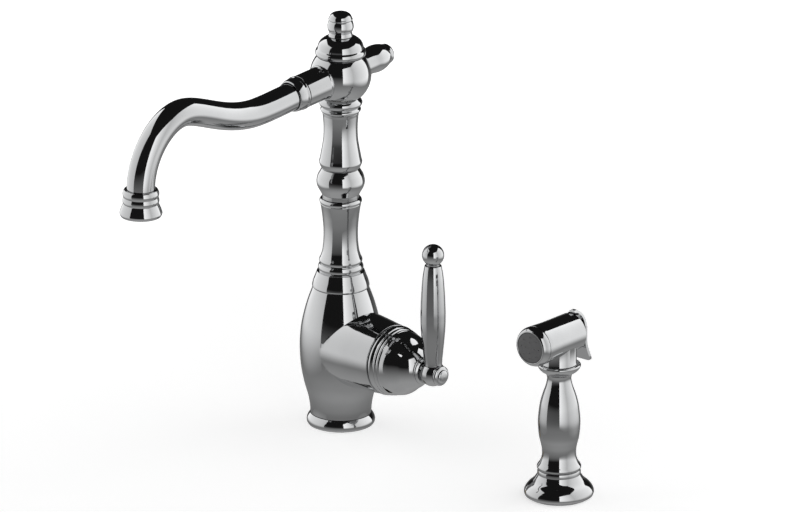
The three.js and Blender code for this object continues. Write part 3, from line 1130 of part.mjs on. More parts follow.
function trigger(centre) {
  const side = new THREE.ExtrudeGeometry(triggerSide(), { depth: 2 * TRIGGER_HALF_W, bevelEnabled: false });
  side.translate(0, 0, -TRIGGER_HALF_W);
  // The side is drawn in depth and height, and its extrusion runs sideways.
  side.applyMatrix4(new THREE.Matrix4().makeBasis(
    new THREE.Vector3(0, 1, 0), new THREE.Vector3(0, 0, 1), new THREE.Vector3(1, 0, 0)));
  const deep = TRIGGER_BACK + TRIGGER_KICK + 2 * TRIGGER_T;
  const front = new THREE.ExtrudeGeometry(triggerFront(), { depth: deep, bevelEnabled: false });
  front.rotateX(Math.PI / 2).translate(0, deep, 0);
  const plate = overlap(side, front);

  const earFrom = LUG_W / 2 + GAP;
  const earTo = earFrom + EAR_T;
  const ear = join(
    block(earFrom, earTo, TRIGGER_PIN_BACK, TRIGGER_BACK, TRIGGER_PIN_RISE - KNUCKLE_R, TRIGGER_PIN_RISE),
    moved(alongX(rod(KNUCKLE_R, earFrom, earTo)), 0, TRIGGER_PIN_BACK, TRIGGER_PIN_RISE),
  );
  const pinHole = alongX(rod(TRIGGER_PIN_R + GAP, -earTo - OVERRUN, earTo + OVERRUN));
  add(centre, "spray_trigger", cut(
    join(plate, ear, moved(ear, -earFrom - earTo, 0, 0)),
    moved(pinHole, 0, TRIGGER_PIN_BACK, TRIGGER_PIN_RISE),
  ), POLISHED);
  const pin = alongX(rod(TRIGGER_PIN_R, -earTo, earTo));
  add(centre, "trigger_pin", moved(pin, 0, TRIGGER_PIN_BACK, TRIGGER_PIN_RISE), STEEL);
}

// ---- Assembly ----
const faucet = new THREE.Group();
deckFixing(faucet);
body(faucet);
column(faucet);
swivel(faucet);
hub(faucet);
crown(faucet);
spout(faucet);

const valveAxis = placed(faucet, 0, 0, VALVE_Z);
cartridge(valveAxis);
carrier(valveAxis);
bonnet(valveAxis);
stem(valveAxis);
grip(leverBall(valveAxis));

const spray = placed(faucet, SPRAY_X, 0, 0);
spray.rotation.z = radians(SPRAY_TURN);
holder(spray);
handle(spray);
const headCentre = placed(spray, 0, 0, STUB_Z + HEAD_RISE);
head(headCentre);
nozzle(headCentre);
sprayValve(headCentre);
trigger(headCentre);

export default faucet;
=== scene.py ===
import json
import math

import bmesh
import bpy
from mathutils import Matrix, Vector

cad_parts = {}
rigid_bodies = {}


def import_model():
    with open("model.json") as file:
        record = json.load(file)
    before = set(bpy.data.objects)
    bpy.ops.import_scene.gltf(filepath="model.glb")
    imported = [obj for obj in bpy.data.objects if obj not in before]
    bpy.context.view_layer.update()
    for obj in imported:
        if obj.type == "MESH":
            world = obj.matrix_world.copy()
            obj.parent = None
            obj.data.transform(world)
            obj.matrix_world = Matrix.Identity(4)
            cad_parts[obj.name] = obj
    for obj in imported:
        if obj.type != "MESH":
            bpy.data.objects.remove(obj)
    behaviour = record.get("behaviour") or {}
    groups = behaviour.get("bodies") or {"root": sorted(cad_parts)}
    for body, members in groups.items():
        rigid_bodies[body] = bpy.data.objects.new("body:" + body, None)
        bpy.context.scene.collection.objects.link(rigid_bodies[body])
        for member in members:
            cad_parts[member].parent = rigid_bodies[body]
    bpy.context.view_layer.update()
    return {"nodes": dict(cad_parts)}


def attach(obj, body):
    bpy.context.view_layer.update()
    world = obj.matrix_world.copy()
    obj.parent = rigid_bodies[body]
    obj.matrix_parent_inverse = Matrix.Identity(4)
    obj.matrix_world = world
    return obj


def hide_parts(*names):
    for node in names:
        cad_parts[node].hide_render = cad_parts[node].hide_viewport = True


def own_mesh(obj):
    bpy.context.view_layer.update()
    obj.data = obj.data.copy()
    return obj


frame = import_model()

# A column kitchen faucet with a side lever, and its side spray in a deck holder.
# Shapes are drawn in millimetres about +Z, like the CAD part, and piece() turns them into metres.

# ---- Clearances and facets ----
GAP = 0.3  # between pieces that meet
LOOSE = 0.6  # where one piece slides, turns or curves inside another
OVERRUN = 1  # how far a cutting tool reaches past what it cuts
SIDES = 112
BORE_SIDES = 48
TUBE_SIDES = 64
HOLE_SIDES = 12
WIRE_SIDES = 10
TURN_STEPS = 24  # of the spring, in each turn
MOUTH_STEPS = 12  # in each arc of the stem's mouth
EDGE = 0.35  # radius of a softened edge
SHARP = math.radians(25)  # an outline turns by more than this at an edge
CREASE = math.radians(32)  # two faces meet at more than this at an edge
WITHIN_FACETS = math.cos(math.radians(15))  # what stays inside a twelve-sided bore
MM = 0.001
WELD = 0.003  # points this close are one
TINY = 0.001  # a step shorter than this is left out of an outline
ON_AXIS = 1e-6  # a radius below this counts as none

# ---- Column ----
SHANK_HOLE = 16.8
SHANK_IN_BODY = 15
GASKET_T = 1.7
GASKET_W = 5.4
GASKET_R = 23
FLANGE_H = 9.5
FLANGE_R = 28.7
FOOT_R = 25.6
BODY_H = 111.2
VASE_R = 34.5
SHOULDER_R = 23.5
LOWER_H = 78
LOWER_R = 24.1
WAIST_R = 14.4
KNOP_H = 26
KNOP_R = 20.3
UPPER_H = 49.4
UPPER_R = 18.1
COLLAR_H = 13
COLLAR_R = 18.3
WATER_R = 7.5
SPIGOT_R = 10
SPIGOT_L = 7
BODY_Z = FLANGE_H + GAP
BODY_TOP = BODY_Z + BODY_H
LOWER_Z = BODY_TOP + GAP
KNOP_Z = LOWER_Z + LOWER_H + GAP
UPPER_Z = KNOP_Z + KNOP_H + GAP
COLLAR_Z = UPPER_Z + UPPER_H + GAP
SWIVEL_T = 1.2
HUB_FOOT_Z = COLLAR_Z + COLLAR_H + GAP + SWIVEL_T + GAP

# ---- Water ways in the body ----
PORT_R = 4
PORT_AT = 8
PORT_ANGLES = (60, -60)
PASSAGE_R = 3.5
VALVE_Z = 70.3
MIXED_Z = VALVE_Z + 12
SPRAY_WAY_TOP = VALVE_Z + 20

# ---- Hub, dome, finial and knob ----
HUB_R = 25.8
HUB_DROP = 17.8
HUB_RISE = 16.4
HUB_Z = HUB_FOOT_Z + HUB_DROP
HUB_BORE = SPIGOT_R + LOOSE
CHAMBER_R = 16
CHAMBER_H = 15
RECESS_R = 17.3
RECESS_DEPTH = 3
STUD_R = 4
DOME_Z = HUB_Z + HUB_RISE + GAP
DOME_H = 17.2
DOME_R = 21.3
DOME_TOP_R = 9.5
DOME_CAVITY_R = 15.5
DOME_CAVITY_H = 9.7
FINIAL_Z = DOME_Z + DOME_H + GAP
FINIAL_H = 20.6
FINIAL_R = 11.1
FINIAL_STUD_L = 6
CROSS_TILT = math.radians(5.5)
KNOB_FROM = 24
KNOB_L = 34.5
KNOB_R = 11.7
KNOB_STUD_R = 5
KNOB_STUD_L = 6

# ---- Spout ----
ARM_R = 14.2
ARM_BORE = 9.5
ARM_L = 48.5
ARM_RING_R = 15
ARM_RING_W = 3
ARM_RING_AT = 21
SLEEVE_L = 11
SLEEVE_R = 14.7
TUBE_R = 11.8
TUBE_BORE = 10.3
TUBE_HOLE = TUBE_R + LOOSE
TROUGH = (101.4, -9.8)  # reach and rise from the hub's centre
CREST = (186, 10.7)
SPOUT_REACH = 233.4
BEND_DROP = 45.2
TUBE_DROP = 58
ARM_PULL = 14  # pull on the tube's curves after the arm and before the trough
TROUGH_PULL = 35.9  # after the trough
CREST_PULL = 20.2  # before the crest
FALL_PULL = 22.7  # after the crest
END_PULL = 30.1  # above the straight end
ARM_STEPS = 30
BEND_STEPS = 44
BELL_H = 23
BELL_BELOW = 9.5
BELL_R = 17.8
BELL_RING_R = 15.4
LEDGE_T = 1
AERATOR_R = 13.4

# ---- Side valve and lever, along +X ----
HOUSING_FROM = 8
HOUSING_END = 60
HOUSING_R = 33.4
HOUSING_END_R = 29.8
THREAD_R = 24
THREAD_L = 10
VALVE_FLOOR = 38
CART_R = 18
CART_NECK_R = 13.5
CART_TOP_X = 74
BEAD_R = 30
BEADS_L = 12
DOME_SHOULDER_R = 27.4
ROUND_R = 21.6
ROUND_WALL = 3
ROUND_FROM = 9
PIVOT_X = 79
TIP_MAX = math.radians(16)
TURN_MAX = math.radians(45)
STEM_R = 4
STEM_PAST = 4.2
SKIRT_R = 12.2
LEVER_X = PIVOT_X + 30.1
LEVER_BALL_R = 10.8
BALL_INNER_FLAT = 5.6
BALL_OUTER_FLAT = 7.4
BALL_TOP_FLAT = 7.5
BUTTON_R = 8.5
BUTTON_H = 5.9
BUTTON_STUD_R = 3
BUTTON_STUD_L = 2.6
GRIP_H = 87.8
GRIP_R = 10.5
GRIP_FOOT_R = 7.6
GRIP_TOP_R = 7.1
GRIP_STUD_R = 4.7
GRIP_STUD_L = 2
TOP_BALL_R = 9.3
TOP_BALL_RISE = 8.8
TOP_FOOT_R = 5.8
TOP_STUD_R = 2.5
TOP_STUD_L = 8
SCREW_R = 2

# ---- Side spray ----
SPRAY_X = 257
SPRAY_TURN = math.radians(5)
DECK = 30
HOLDER_H = 23.8
HOLDER_R = 29.2
HOLDER_TOP_R = 18.2
HOLDER_BORE = 13.2
HOLDER_SHANK_R = 15.5
HOLDER_BELOW = 16
HOLDER_GASKET_R = 20.6
HANDLE_Z = HOLDER_H + GAP
HANDLE_H = 83.4
HANDLE_R = 17.7
HANDLE_LIP_R = 18.4
HANDLE_WAIST_R = 14.2
HANDLE_NECK_R = 10.1
HANDLE_SPIGOT_L = 16.1
HANDLE_BORE = 5
HANDLE_TOP = HANDLE_Z + HANDLE_H
NECK_Z = HANDLE_TOP + GAP
NECK_H = 8.8
NECK_R = 18.1
NECK_TOP = NECK_Z + NECK_H
NECK_PLUG_R = 6.7
NECK_PLUG_L = 6
STUB_R = 14.5
STUB_PLUG_R = 7.2
STUB_PLUG_L = 6
HEAD_RISE = 23.3
HEAD_Z = NECK_TOP + GAP + HEAD_RISE
HEAD_R = 16.2
HEAD_FRONT_R = 17
HEAD_FRONT = 31
HEAD_BACK = 16.5
HEAD_BORE = 13
BACK_BORE = 9.3
WEB_FRONT = 9
WEB_T = 3
NOZZLE_L = 6.9
NOZZLE_LIP_R = 14
NOZZLE_SPIGOT_L = 7
NOZZLE_BORE = 10.8
FACE_R = 12.9
FACE_T = 3.4
FACE_DOME = 0.6
FACE_HOLE_R = 0.45
FACE_RINGS = ((4, 4.6), (8, 9.2))
BACK_CAP_R = 10.4
BACK_CAP_T = 1.6
BACK_CAP_DOME = 0.8
BACK_PLUG_L = 3
PLUNGER_R = 1.5
PLUNGER_DROP = 4
VALVE_PORT_R = 2.4
SPRING_R = 3
SPRING_WIRE_R = 0.35
SPRING_TURNS = 5
SPRING_FROM = -3.35  # its first and last turns' middles, forward of the handle's axis
SPRING_TO = 5.35
TRIGGER_T = 2.4
TRIGGER_HALF_W = 10
TRIGGER_BACK = 23.2
TRIGGER_TOP = 19.4
TRIGGER_BEND = 9
TRIGGER_FOOT = 28
TRIGGER_KICK = 6.8
PIN_R = 1.25
PIN_BACK = 19
PIN_RISE = 13.2
KNUCKLE_R = 2.2
LUG_W = 5.6
EAR_T = 2.4

# ---- Finishes ----
GRAIN_DETAIL = 3
RELIEF = 0.0002  # depth of a bump, in metres
MIX_FACTOR, MIX_A, MIX_B = 0, 2, 3  # inputs of a mix node for plain numbers

# ---- Camera and studio, in metres ----
VIEW_AZIMUTH = math.radians(45)
VIEW_ELEVATION = math.radians(19.3)
VIEW_AIM = Vector((0.03506, 0.03506, 0.1472))
VIEW_DISTANCE = 18.6
LENS = 1000
SENSOR = 36
CARDS = {  # each runs between two ends: (degrees right of the camera's side, distance)
    "card_left": ((-57, 0.95), (-150, 1.6)),
    "card_front": ((9, 1.4), (49, 1.3)),
    "card_right": ((49, 1.3), (125, 1.2)),
}
CARD_HIGH = 1.3
CARD_LOW = -0.42  # below the floor, which mirror images look through
CARD_FOOT = 0.3  # a card's light at its lower edge
CARD_FADE = 0.27  # the share of a card's height over which its light rises to the full
CARD_DIM = 0.8  # at the end of a card that lies towards +X
CARD_BRIGHT = 1.6
CEILING = 0.012  # what upward faces mirror
GROUND = 0.48  # what downward faces mirror
HORIZON_TOP, HORIZON_FOOT = 0.1, -0.9  # directions that rise by this much see ceiling or ground
AMBIENT = 0.25  # what matt faces are lit by from all round
FLOOR_REACH = 3.2
FLOOR_WHITE = 0.8
FLOOR_NEAR, FLOOR_FAR = 0.35, 1.1  # distances between which the floor goes up to full white
FLOOR_NEAR_GLOW, FLOOR_FAR_GLOW = 0.55, 1.0


# ---- Outlines ----
def shares(points, base, height):
    """Outline points given as (radius, share of the height)."""
    return [(r, base + t * height) for r, t in points]


def spline(points, steps=6):
    """A smooth run through all the points, with this many steps in each span."""
    known = [Vector(p) for p in points]
    last = len(known) - 1
    run = []
    for i in range(last):
        before, start, end, after = known[max(i - 1, 0)], known[i], known[i + 1], known[min(i + 2, last)]
        leave, arrive = (end - before) / 2, (after - start) / 2
        for k in range(steps):
            t = k / steps
            run.append(tuple((2 * start - 2 * end + leave + arrive) * t ** 3
                             + (3 * end - 3 * start - 2 * leave - arrive) * t ** 2 + leave * t + start))
    run.append(tuple(known[-1]))
    return run


def profile(points, base, height, steps=6):
    """A smooth run through points given as (radius, share of the height)."""
    return spline(shares(points, base, height), steps)


def bead(radius, bulge, start, end, steps=10):
    """A round bead whose top stands at the radius."""
    return [(radius - bulge + bulge * math.sin(math.pi * i / steps), start + (end - start) * i / steps)
            for i in range(steps + 1)]


def arc(radius, start, end, steps=20):
    """Points on a sphere's outline, from one height to another."""
    low, high = math.asin(start / radius), math.asin(min(end / radius, 1))
    angles = [low + (high - low) * i / steps for i in range(steps + 1)]
    return [(radius * math.cos(a), radius * math.sin(a)) for a in angles]


def circle(radius, sides):
    return [(radius * math.cos(2 * math.pi * i / sides), radius * math.sin(2 * math.pi * i / sides))
            for i in range(sides)]


def area(outline):
    following = outline[1:] + outline[:1]
    return sum(a[0] * b[1] - b[0] * a[1] for a, b in zip(outline, following)) / 2


def apart(outline):
    """The points without any that repeats the one before."""
    points = [Vector(p) for p in outline]
    return points[:1] + [b for a, b in zip(points, points[1:]) if (b - a).length > TINY]


def eased(outline, radius):
    """The outline with its sharp corners rounded, apart from those on the axis."""
    points = apart(outline)
    soft = []
    for i, point in enumerate(points):
        back, ahead = points[i - 1] - point, points[(i + 1) % len(points)] - point
        kept = point.x < ON_AXIS or min(back.length, ahead.length) < TINY
        if kept or math.pi - back.angle(ahead) < SHARP:
            soft.append(tuple(point))
            continue
        reach = radius * math.tan((math.pi - back.angle(ahead)) / 2)
        reach = min(reach, 0.4 * back.length, 0.4 * ahead.length)
        first, last = point + back.normalized() * reach, point + ahead.normalized() * reach
        for t in (0, 1 / 3, 2 / 3, 1):
            soft.append(tuple(first * (1 - t) ** 2 + point * 2 * t * (1 - t) + last * t ** 2))
    return soft


# ---- Solids ----
def skin(rings, looped):
    """A mesh over rings of points. A ring of one point closes an end."""
    vertices, spans, faces = [], [], []
    for points in rings:
        spans.append(range(len(vertices), len(vertices) + len(points)))
        vertices.extend(points)
    pairs = list(zip(spans, spans[1:]))
    if looped:
        pairs.append((spans[-1], spans[0]))
    for low, high in pairs:
        count = max(len(low), len(high))
        for i in range(count if count > 1 else 0):
            j = (i + 1) % count
            if len(low) == 1:
                faces.append((low[0], high[j], high[i]))
            elif len(high) == 1:
                faces.append((low[i], low[j], high[0]))
            else:
                faces.append((low[i], low[j], high[j], high[i]))
    mesh = bpy.data.meshes.new("shape")
    mesh.from_pydata(vertices, [], faces)
    return mesh


def turned(outline, sides=SIDES, edge=EDGE):
    """Turns an outline of (radius, height) points about +Z."""
    points = eased(outline, edge) if edge else list(outline)
    if area(points) < 0:
        points.reverse()
    on_axis = points[0][0] < ON_AXIS and points[-1][0] < ON_AXIS
    turns = circle(1, sides)
    rings = [[(0, 0, z)] if r < ON_AXIS else [(r * x, r * y, z) for x, y in turns] for r, z in points]
    return skin(rings, not on_axis)


def rod(radius, start, end, sides=BORE_SIDES):
    return turned([(0, start), (radius, start), (radius, end), (0, end)], sides, 0)


def ring(inner, outer, start, end):
    return turned([(inner, start), (outer, start), (outer, end), (inner, end)], SIDES, 0.15)


def prism(outline, start, end):
    """An outline of (x, y) points pulled along +Z."""
    points = outline if area(outline) > 0 else outline[::-1]
    count = len(points)
    vertices = [(x, y, z) for z in (start, end) for x, y in points]
    faces = [tuple(range(count))[::-1], tuple(range(count, 2 * count))]
    faces += [(i, (i + 1) % count, (i + 1) % count + count, i + count) for i in range(count)]
    mesh = bpy.data.meshes.new("shape")
    mesh.from_pydata(vertices, [], faces)
    return mesh


def block(x0, x1, y0, y1, z0, z1):
    return prism([(x0, y0), (x1, y0), (x1, y1), (x0, y1)], z0, z1)


def placed(mesh, *matrices):
    """The mesh moved by the matrices, the last one first."""
    for matrix in reversed(matrices):
        mesh.transform(matrix)
    return mesh


def shift(x, y, z):
    return Matrix.Translation((x, y, z))


ALONG_X = Matrix.Rotation(math.pi / 2, 4, "Y")
ALONG_Y = Matrix.Rotation(-math.pi / 2, 4, "X")
FORWARD = Matrix.Rotation(math.pi / 2, 4, "X")
ACROSS = shift(0, 0, HUB_Z) @ Matrix.Rotation(math.pi / 2 + CROSS_TILT, 4, "X")
VALVE = shift(0, 0, VALVE_Z)
LEVER = shift(LEVER_X, 0, VALVE_Z)
SPRAY = shift(SPRAY_X, 0, 0) @ Matrix.Rotation(SPRAY_TURN, 4, "Z")
HEAD = SPRAY @ shift(0, 0, HEAD_Z)


def combined(base, kind, *tools):
    """Joins (UNION), cuts (DIFFERENCE) or overlaps (INTERSECT) the base with each tool in turn."""
    scene_objects = bpy.context.scene.collection.objects
    work = bpy.data.objects.new("work", base)
    scene_objects.link(work)
    helpers = []
    for mesh in tools:
        helper = bpy.data.objects.new("helper", mesh)
        scene_objects.link(helper)
        helpers.append(helper)
        modifier = work.modifiers.new(kind, "BOOLEAN")
        modifier.operation = kind
        modifier.solver = "EXACT"
        modifier.object = helper
    bpy.context.view_layer.update()
    result = bpy.data.meshes.new_from_object(work.evaluated_get(bpy.context.evaluated_depsgraph_get()))
    for obj in (work, *helpers):
        bpy.data.objects.remove(obj, do_unlink=True)
    return welded(result)


def welded(mesh):
    """Closes the hairline slits that cutting can leave."""
    form = bmesh.new()
    form.from_mesh(mesh)
    bmesh.ops.remove_doubles(form, verts=form.verts, dist=WELD)
    bmesh.ops.dissolve_degenerate(form, edges=form.edges, dist=WELD)
    form.to_mesh(mesh)
    form.free()
    return mesh


def gathered(meshes):
    """Separate meshes as one."""
    form = bmesh.new()
    for mesh in meshes:
        form.from_mesh(mesh)
    result = bpy.data.meshes.new("shape")
    form.to_mesh(result)
    form.free()
    return result


def joined(base, *others):
    return combined(base, "UNION", *others)


def cut(base, *tools):
    return combined(base, "DIFFERENCE", *tools)


# ---- Materials ----
def surface(name, dark, light, roughness, metallic, grain, bump=0.0):
    """A finish whose colour and roughness wander between two values on a fine noise."""
    material = bpy.data.materials.new(name)
    material.use_nodes = True
    nodes, links = material.node_tree.nodes, material.node_tree.links
    shader = nodes["Principled BSDF"]
    shader.inputs["Metallic"].default_value = metallic
    place = nodes.new("ShaderNodeTexCoord")
    noise = nodes.new("ShaderNodeTexNoise")
    noise.inputs["Scale"].default_value = grain
    noise.inputs["Detail"].default_value = GRAIN_DETAIL
    links.new(place.outputs["Object"], noise.inputs["Vector"])
    ramp = nodes.new("ShaderNodeValToRGB")
    ramp.color_ramp.elements[0].color = (*dark, 1)
    ramp.color_ramp.elements[1].color = (*light, 1)
    links.new(noise.outputs["Fac"], ramp.inputs["Fac"])
    links.new(ramp.outputs["Color"], shader.inputs["Base Color"])
    spread = nodes.new("ShaderNodeMapRange")
    spread.inputs["To Min"].default_value = roughness[0]
    spread.inputs["To Max"].default_value = roughness[1]
    links.new(noise.outputs["Fac"], spread.inputs["Value"])
    links.new(spread.outputs["Result"], shader.inputs["Roughness"])
    if bump:
        relief = nodes.new("ShaderNodeBump")
        relief.inputs["Strength"].default_value = bump
        relief.inputs["Distance"].default_value = RELIEF
        links.new(noise.outputs["Fac"], relief.inputs["Height"])
        links.new(relief.outputs["Normal"], shader.inputs["Normal"])
    return material


LOOKS = {  # dark and light colour, least and most roughness, metallic, grain and bump
    "polished_metal": ((0.5, 0.505, 0.51), (0.58, 0.585, 0.59), (0.035, 0.08), 1, 35),
    "brass": ((0.42, 0.3, 0.11), (0.6, 0.44, 0.18), (0.25, 0.45), 1, 120, 0.1),
    "steel": ((0.3, 0.31, 0.32), (0.45, 0.46, 0.47), (0.3, 0.5), 1, 150, 0.1),
    "rubber": ((0.008, 0.008, 0.008), (0.02, 0.02, 0.02), (0.75, 0.95), 0, 900, 0.4),
    "plastic": ((0.6, 0.59, 0.56), (0.72, 0.71, 0.67), (0.4, 0.55), 0, 300, 0.1),
    "ceramic": ((0.72, 0.69, 0.62), (0.82, 0.79, 0.72), (0.2, 0.35), 0, 250),
    "grey_face": ((0.13, 0.13, 0.132), (0.165, 0.165, 0.168), (0.4, 0.55), 0, 500, 0.15),
}
FINISHES = {name: surface(name, *look) for name, look in LOOKS.items()}
CAD_FINISHES = {
    "brass": ("fixing_shank", "mounting_nut", "cold_nipple", "hot_nipple", "spray_nipple", "diverter_seat",
              "swivel_tube", "hub_nut", "holder_nut", "hose_coupling"),
    "steel": ("steel_washer", "aerator_insert", "pivot_pin", "lever_stem", "lever_screw", "holder_washer",
              "trigger_pin", "spray_plunger"),
    "rubber": ("rubber_washer", "lower_o_ring", "upper_o_ring", "aerator_washer"),
    "plastic": ("diverter_poppet", "thrust_washer", "cartridge_body", "disc_driver", "stem_carrier"),
    "ceramic": ("fixed_disc", "moving_disc"),
}


def finish_cad_nodes():
    for slot, names in CAD_FINISHES.items():
        for name in names:
            mesh = frame["nodes"][name].data
            mesh.materials.clear()
            mesh.materials.append(FINISHES[slot])


def piece(node, body, mesh, matrix=None, slot="polished_metal"):
    """Shows the mesh in place of a CAD node and lets it move with the node's body."""
    if matrix:
        mesh.transform(matrix)
    mesh.transform(Matrix.Scale(MM, 4))
    mesh.shade_smooth()
    mesh.set_sharp_from_angle(angle=CREASE)
    mesh.materials.clear()
    mesh.materials.append(FINISHES[slot])
    obj = bpy.data.objects.new("fine_" + node, mesh)
    bpy.context.scene.collection.objects.link(obj)
    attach(obj, body)
    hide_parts(node)
    return obj


# ---- Flange and body ----
def gasket_groove(radius):
    inner, outer, roof = radius - GASKET_W / 2 - GAP, radius + GASKET_W / 2 + GAP, GASKET_T + GAP
    return [(inner, 0), (inner, roof), (outer, roof), (outer, 0)]


def gasket(radius):
    return ring(radius - GASKET_W / 2, radius + GASKET_W / 2, 0, GASKET_T)


def base_flange():
    outside = profile([
        (FLANGE_R - 0.2, 0.17), (FLANGE_R, 0.4), (FLANGE_R - 0.5, 0.62), (FLANGE_R - 1.7, 0.84),
        (FOOT_R + 0.3, 1)], 0, FLANGE_H)
    piece("base_flange", "root", turned([
        (SHANK_HOLE, 0), *gasket_groove(GASKET_R), (FLANGE_R - 1.2, 0), *outside, (SHANK_HOLE, FLANGE_H)]))
    piece("base_gasket", "root", gasket(GASKET_R), slot="rubber")


def body_hollows():
    angles = [math.radians(angle) for angle in PORT_ANGLES]
    ports = [(PORT_AT * math.cos(angle), PORT_AT * math.sin(angle)) for angle in angles]
    socket_roof = BODY_Z + SHANK_IN_BODY + GAP
    thread_floor = HOUSING_END - THREAD_L - GAP
    tools = [
        rod(SHANK_HOLE, BODY_Z - OVERRUN, socket_roof, SIDES),
        rod(WATER_R, MIXED_Z - PASSAGE_R - OVERRUN, BODY_TOP + OVERRUN),
        rod(SPIGOT_R + GAP, BODY_TOP - SPIGOT_L - GAP, BODY_TOP + OVERRUN),
        placed(rod(PASSAGE_R, 0, VALVE_FLOOR + OVERRUN), shift(0, 0, MIXED_Z), ALONG_X),
        placed(rod(CART_R + GAP, VALVE_FLOOR, HOUSING_END + OVERRUN), VALVE, ALONG_X),
        placed(rod(THREAD_R + GAP, thread_floor, HOUSING_END + OVERRUN), VALVE, ALONG_X),
        placed(rod(PORT_R, socket_roof - OVERRUN, SPRAY_WAY_TOP), shift(-PORT_AT, 0, 0)),
    ]
    for x, y in ports:
        tools.append(placed(rod(PORT_R, socket_roof - OVERRUN, VALVE_Z), shift(x, y, 0)))
        tools.append(placed(rod(PASSAGE_R, x, VALVE_FLOOR + OVERRUN), shift(0, y, VALVE_Z), ALONG_X))
    return tools


def faucet_body():
    vase = profile([
        (FOOT_R, 0), (FOOT_R + 0.4, 0.06), (VASE_R - 6.9, 0.14), (VASE_R - 3.5, 0.25),
        (VASE_R - 0.9, 0.38), (VASE_R, 0.525), (VASE_R - 0.7, 0.65), (VASE_R - 2.6, 0.755),
        (VASE_R - 6.3, 0.882), (SHOULDER_R, 1),
    ], BODY_Z, BODY_H, 7)
    housing = profile([
        (HOUSING_R, 0), (HOUSING_R - 0.6, 0.38), (HOUSING_R - 1.7, 0.64), (HOUSING_END_R + 0.8, 0.85),
        (HOUSING_END_R, 1),
    ], HOUSING_FROM, HOUSING_END - HOUSING_FROM)
    solid = joined(
        turned([(0, BODY_Z), *vase, (0, BODY_TOP)]),
        placed(turned([(0, HOUSING_FROM), *housing, (0, HOUSING_END)]), VALVE, ALONG_X))
    piece("faucet_body", "root", cut(solid, *body_hollows()))


# ---- Column ----
def column_piece(node, outside, base, height):
    top = base + height
    socket_floor = top - SPIGOT_L - GAP
    piece(node, "root", turned([
        (WATER_R, base - SPIGOT_L), (SPIGOT_R, base - SPIGOT_L), (SPIGOT_R, base), *outside,
        (SPIGOT_R + GAP, top), (SPIGOT_R + GAP, socket_floor), (WATER_R, socket_floor)]))


def column():
    foot_top, bead_middle, bead_top, lip_foot = [LOWER_Z + t * LOWER_H for t in (0.175, 0.26, 0.335, 0.94)]
    column_piece("lower_column", [
        (LOWER_R - 0.3, LOWER_Z), (LOWER_R, LOWER_Z + 0.9), (LOWER_R - 0.2, LOWER_Z + 2.4),
        *spline([(LOWER_R - 1.2, LOWER_Z + 0.078 * LOWER_H), (WAIST_R + 7.1, LOWER_Z + 0.123 * LOWER_H),
                 (WAIST_R + 5.6, foot_top)]),
        *bead(WAIST_R + 4.7, 1.2, foot_top + GAP, bead_middle),
        *bead(WAIST_R + 3.8, 1.1, bead_middle + GAP, bead_top),
        *profile([
            (WAIST_R + 1.9, 0.365), (WAIST_R + 0.9, 0.42), (WAIST_R + 0.1, 0.53), (WAIST_R + 0.1, 0.66),
            (WAIST_R + 0.9, 0.78), (WAIST_R + 1.8, 0.87), (WAIST_R + 2.7, 0.94)], LOWER_Z, LOWER_H),
        *bead(WAIST_R + 3.5, 1, lip_foot + GAP, LOWER_Z + LOWER_H),
    ], LOWER_Z, LOWER_H)
    column_piece("column_knop", [
        (WAIST_R + 1.3, KNOP_Z), (WAIST_R + 1.3, KNOP_Z + 0.13 * KNOP_H),
        *profile([
            (KNOP_R - 2.4, 0.28), (KNOP_R - 0.7, 0.41), (KNOP_R, 0.56), (KNOP_R - 0.9, 0.75),
            (KNOP_R - 2.6, 0.88), (KNOP_R - 4.5, 1)], KNOP_Z, KNOP_H),
    ], KNOP_Z, KNOP_H)
    column_piece("upper_column", [
        (UPPER_R - 2.2, UPPER_Z),
        *profile([
            (UPPER_R - 1.1, 0.04), (UPPER_R, 0.11), (UPPER_R - 0.7, 0.18), (WAIST_R + 1.1, 0.39),
            (WAIST_R + 0.1, 0.54), (WAIST_R - 0.1, 0.75), (WAIST_R + 0.7, 0.96)], UPPER_Z, UPPER_H),
        (WAIST_R + 1.2, UPPER_Z + UPPER_H),
    ], UPPER_Z, UPPER_H)
    column_piece("column_collar", [
        *bead(COLLAR_R - 1.2, 1.3, COLLAR_Z, COLLAR_Z + 0.32 * COLLAR_H),
        *bead(COLLAR_R, 1.9, COLLAR_Z + 0.36 * COLLAR_H, COLLAR_Z + 0.9 * COLLAR_H, 14),
        (SPIGOT_R + 5.4, COLLAR_Z + COLLAR_H),
    ], COLLAR_Z, COLLAR_H)


# ---- Hub, dome, finial and knob ----
def swivel_washer():
    base = COLLAR_Z + COLLAR_H + GAP
    washer = ring(HUB_BORE, SPIGOT_R + 5, base, base + SWIVEL_T)
    piece("swivel_washer", "root", washer, slot="plastic")


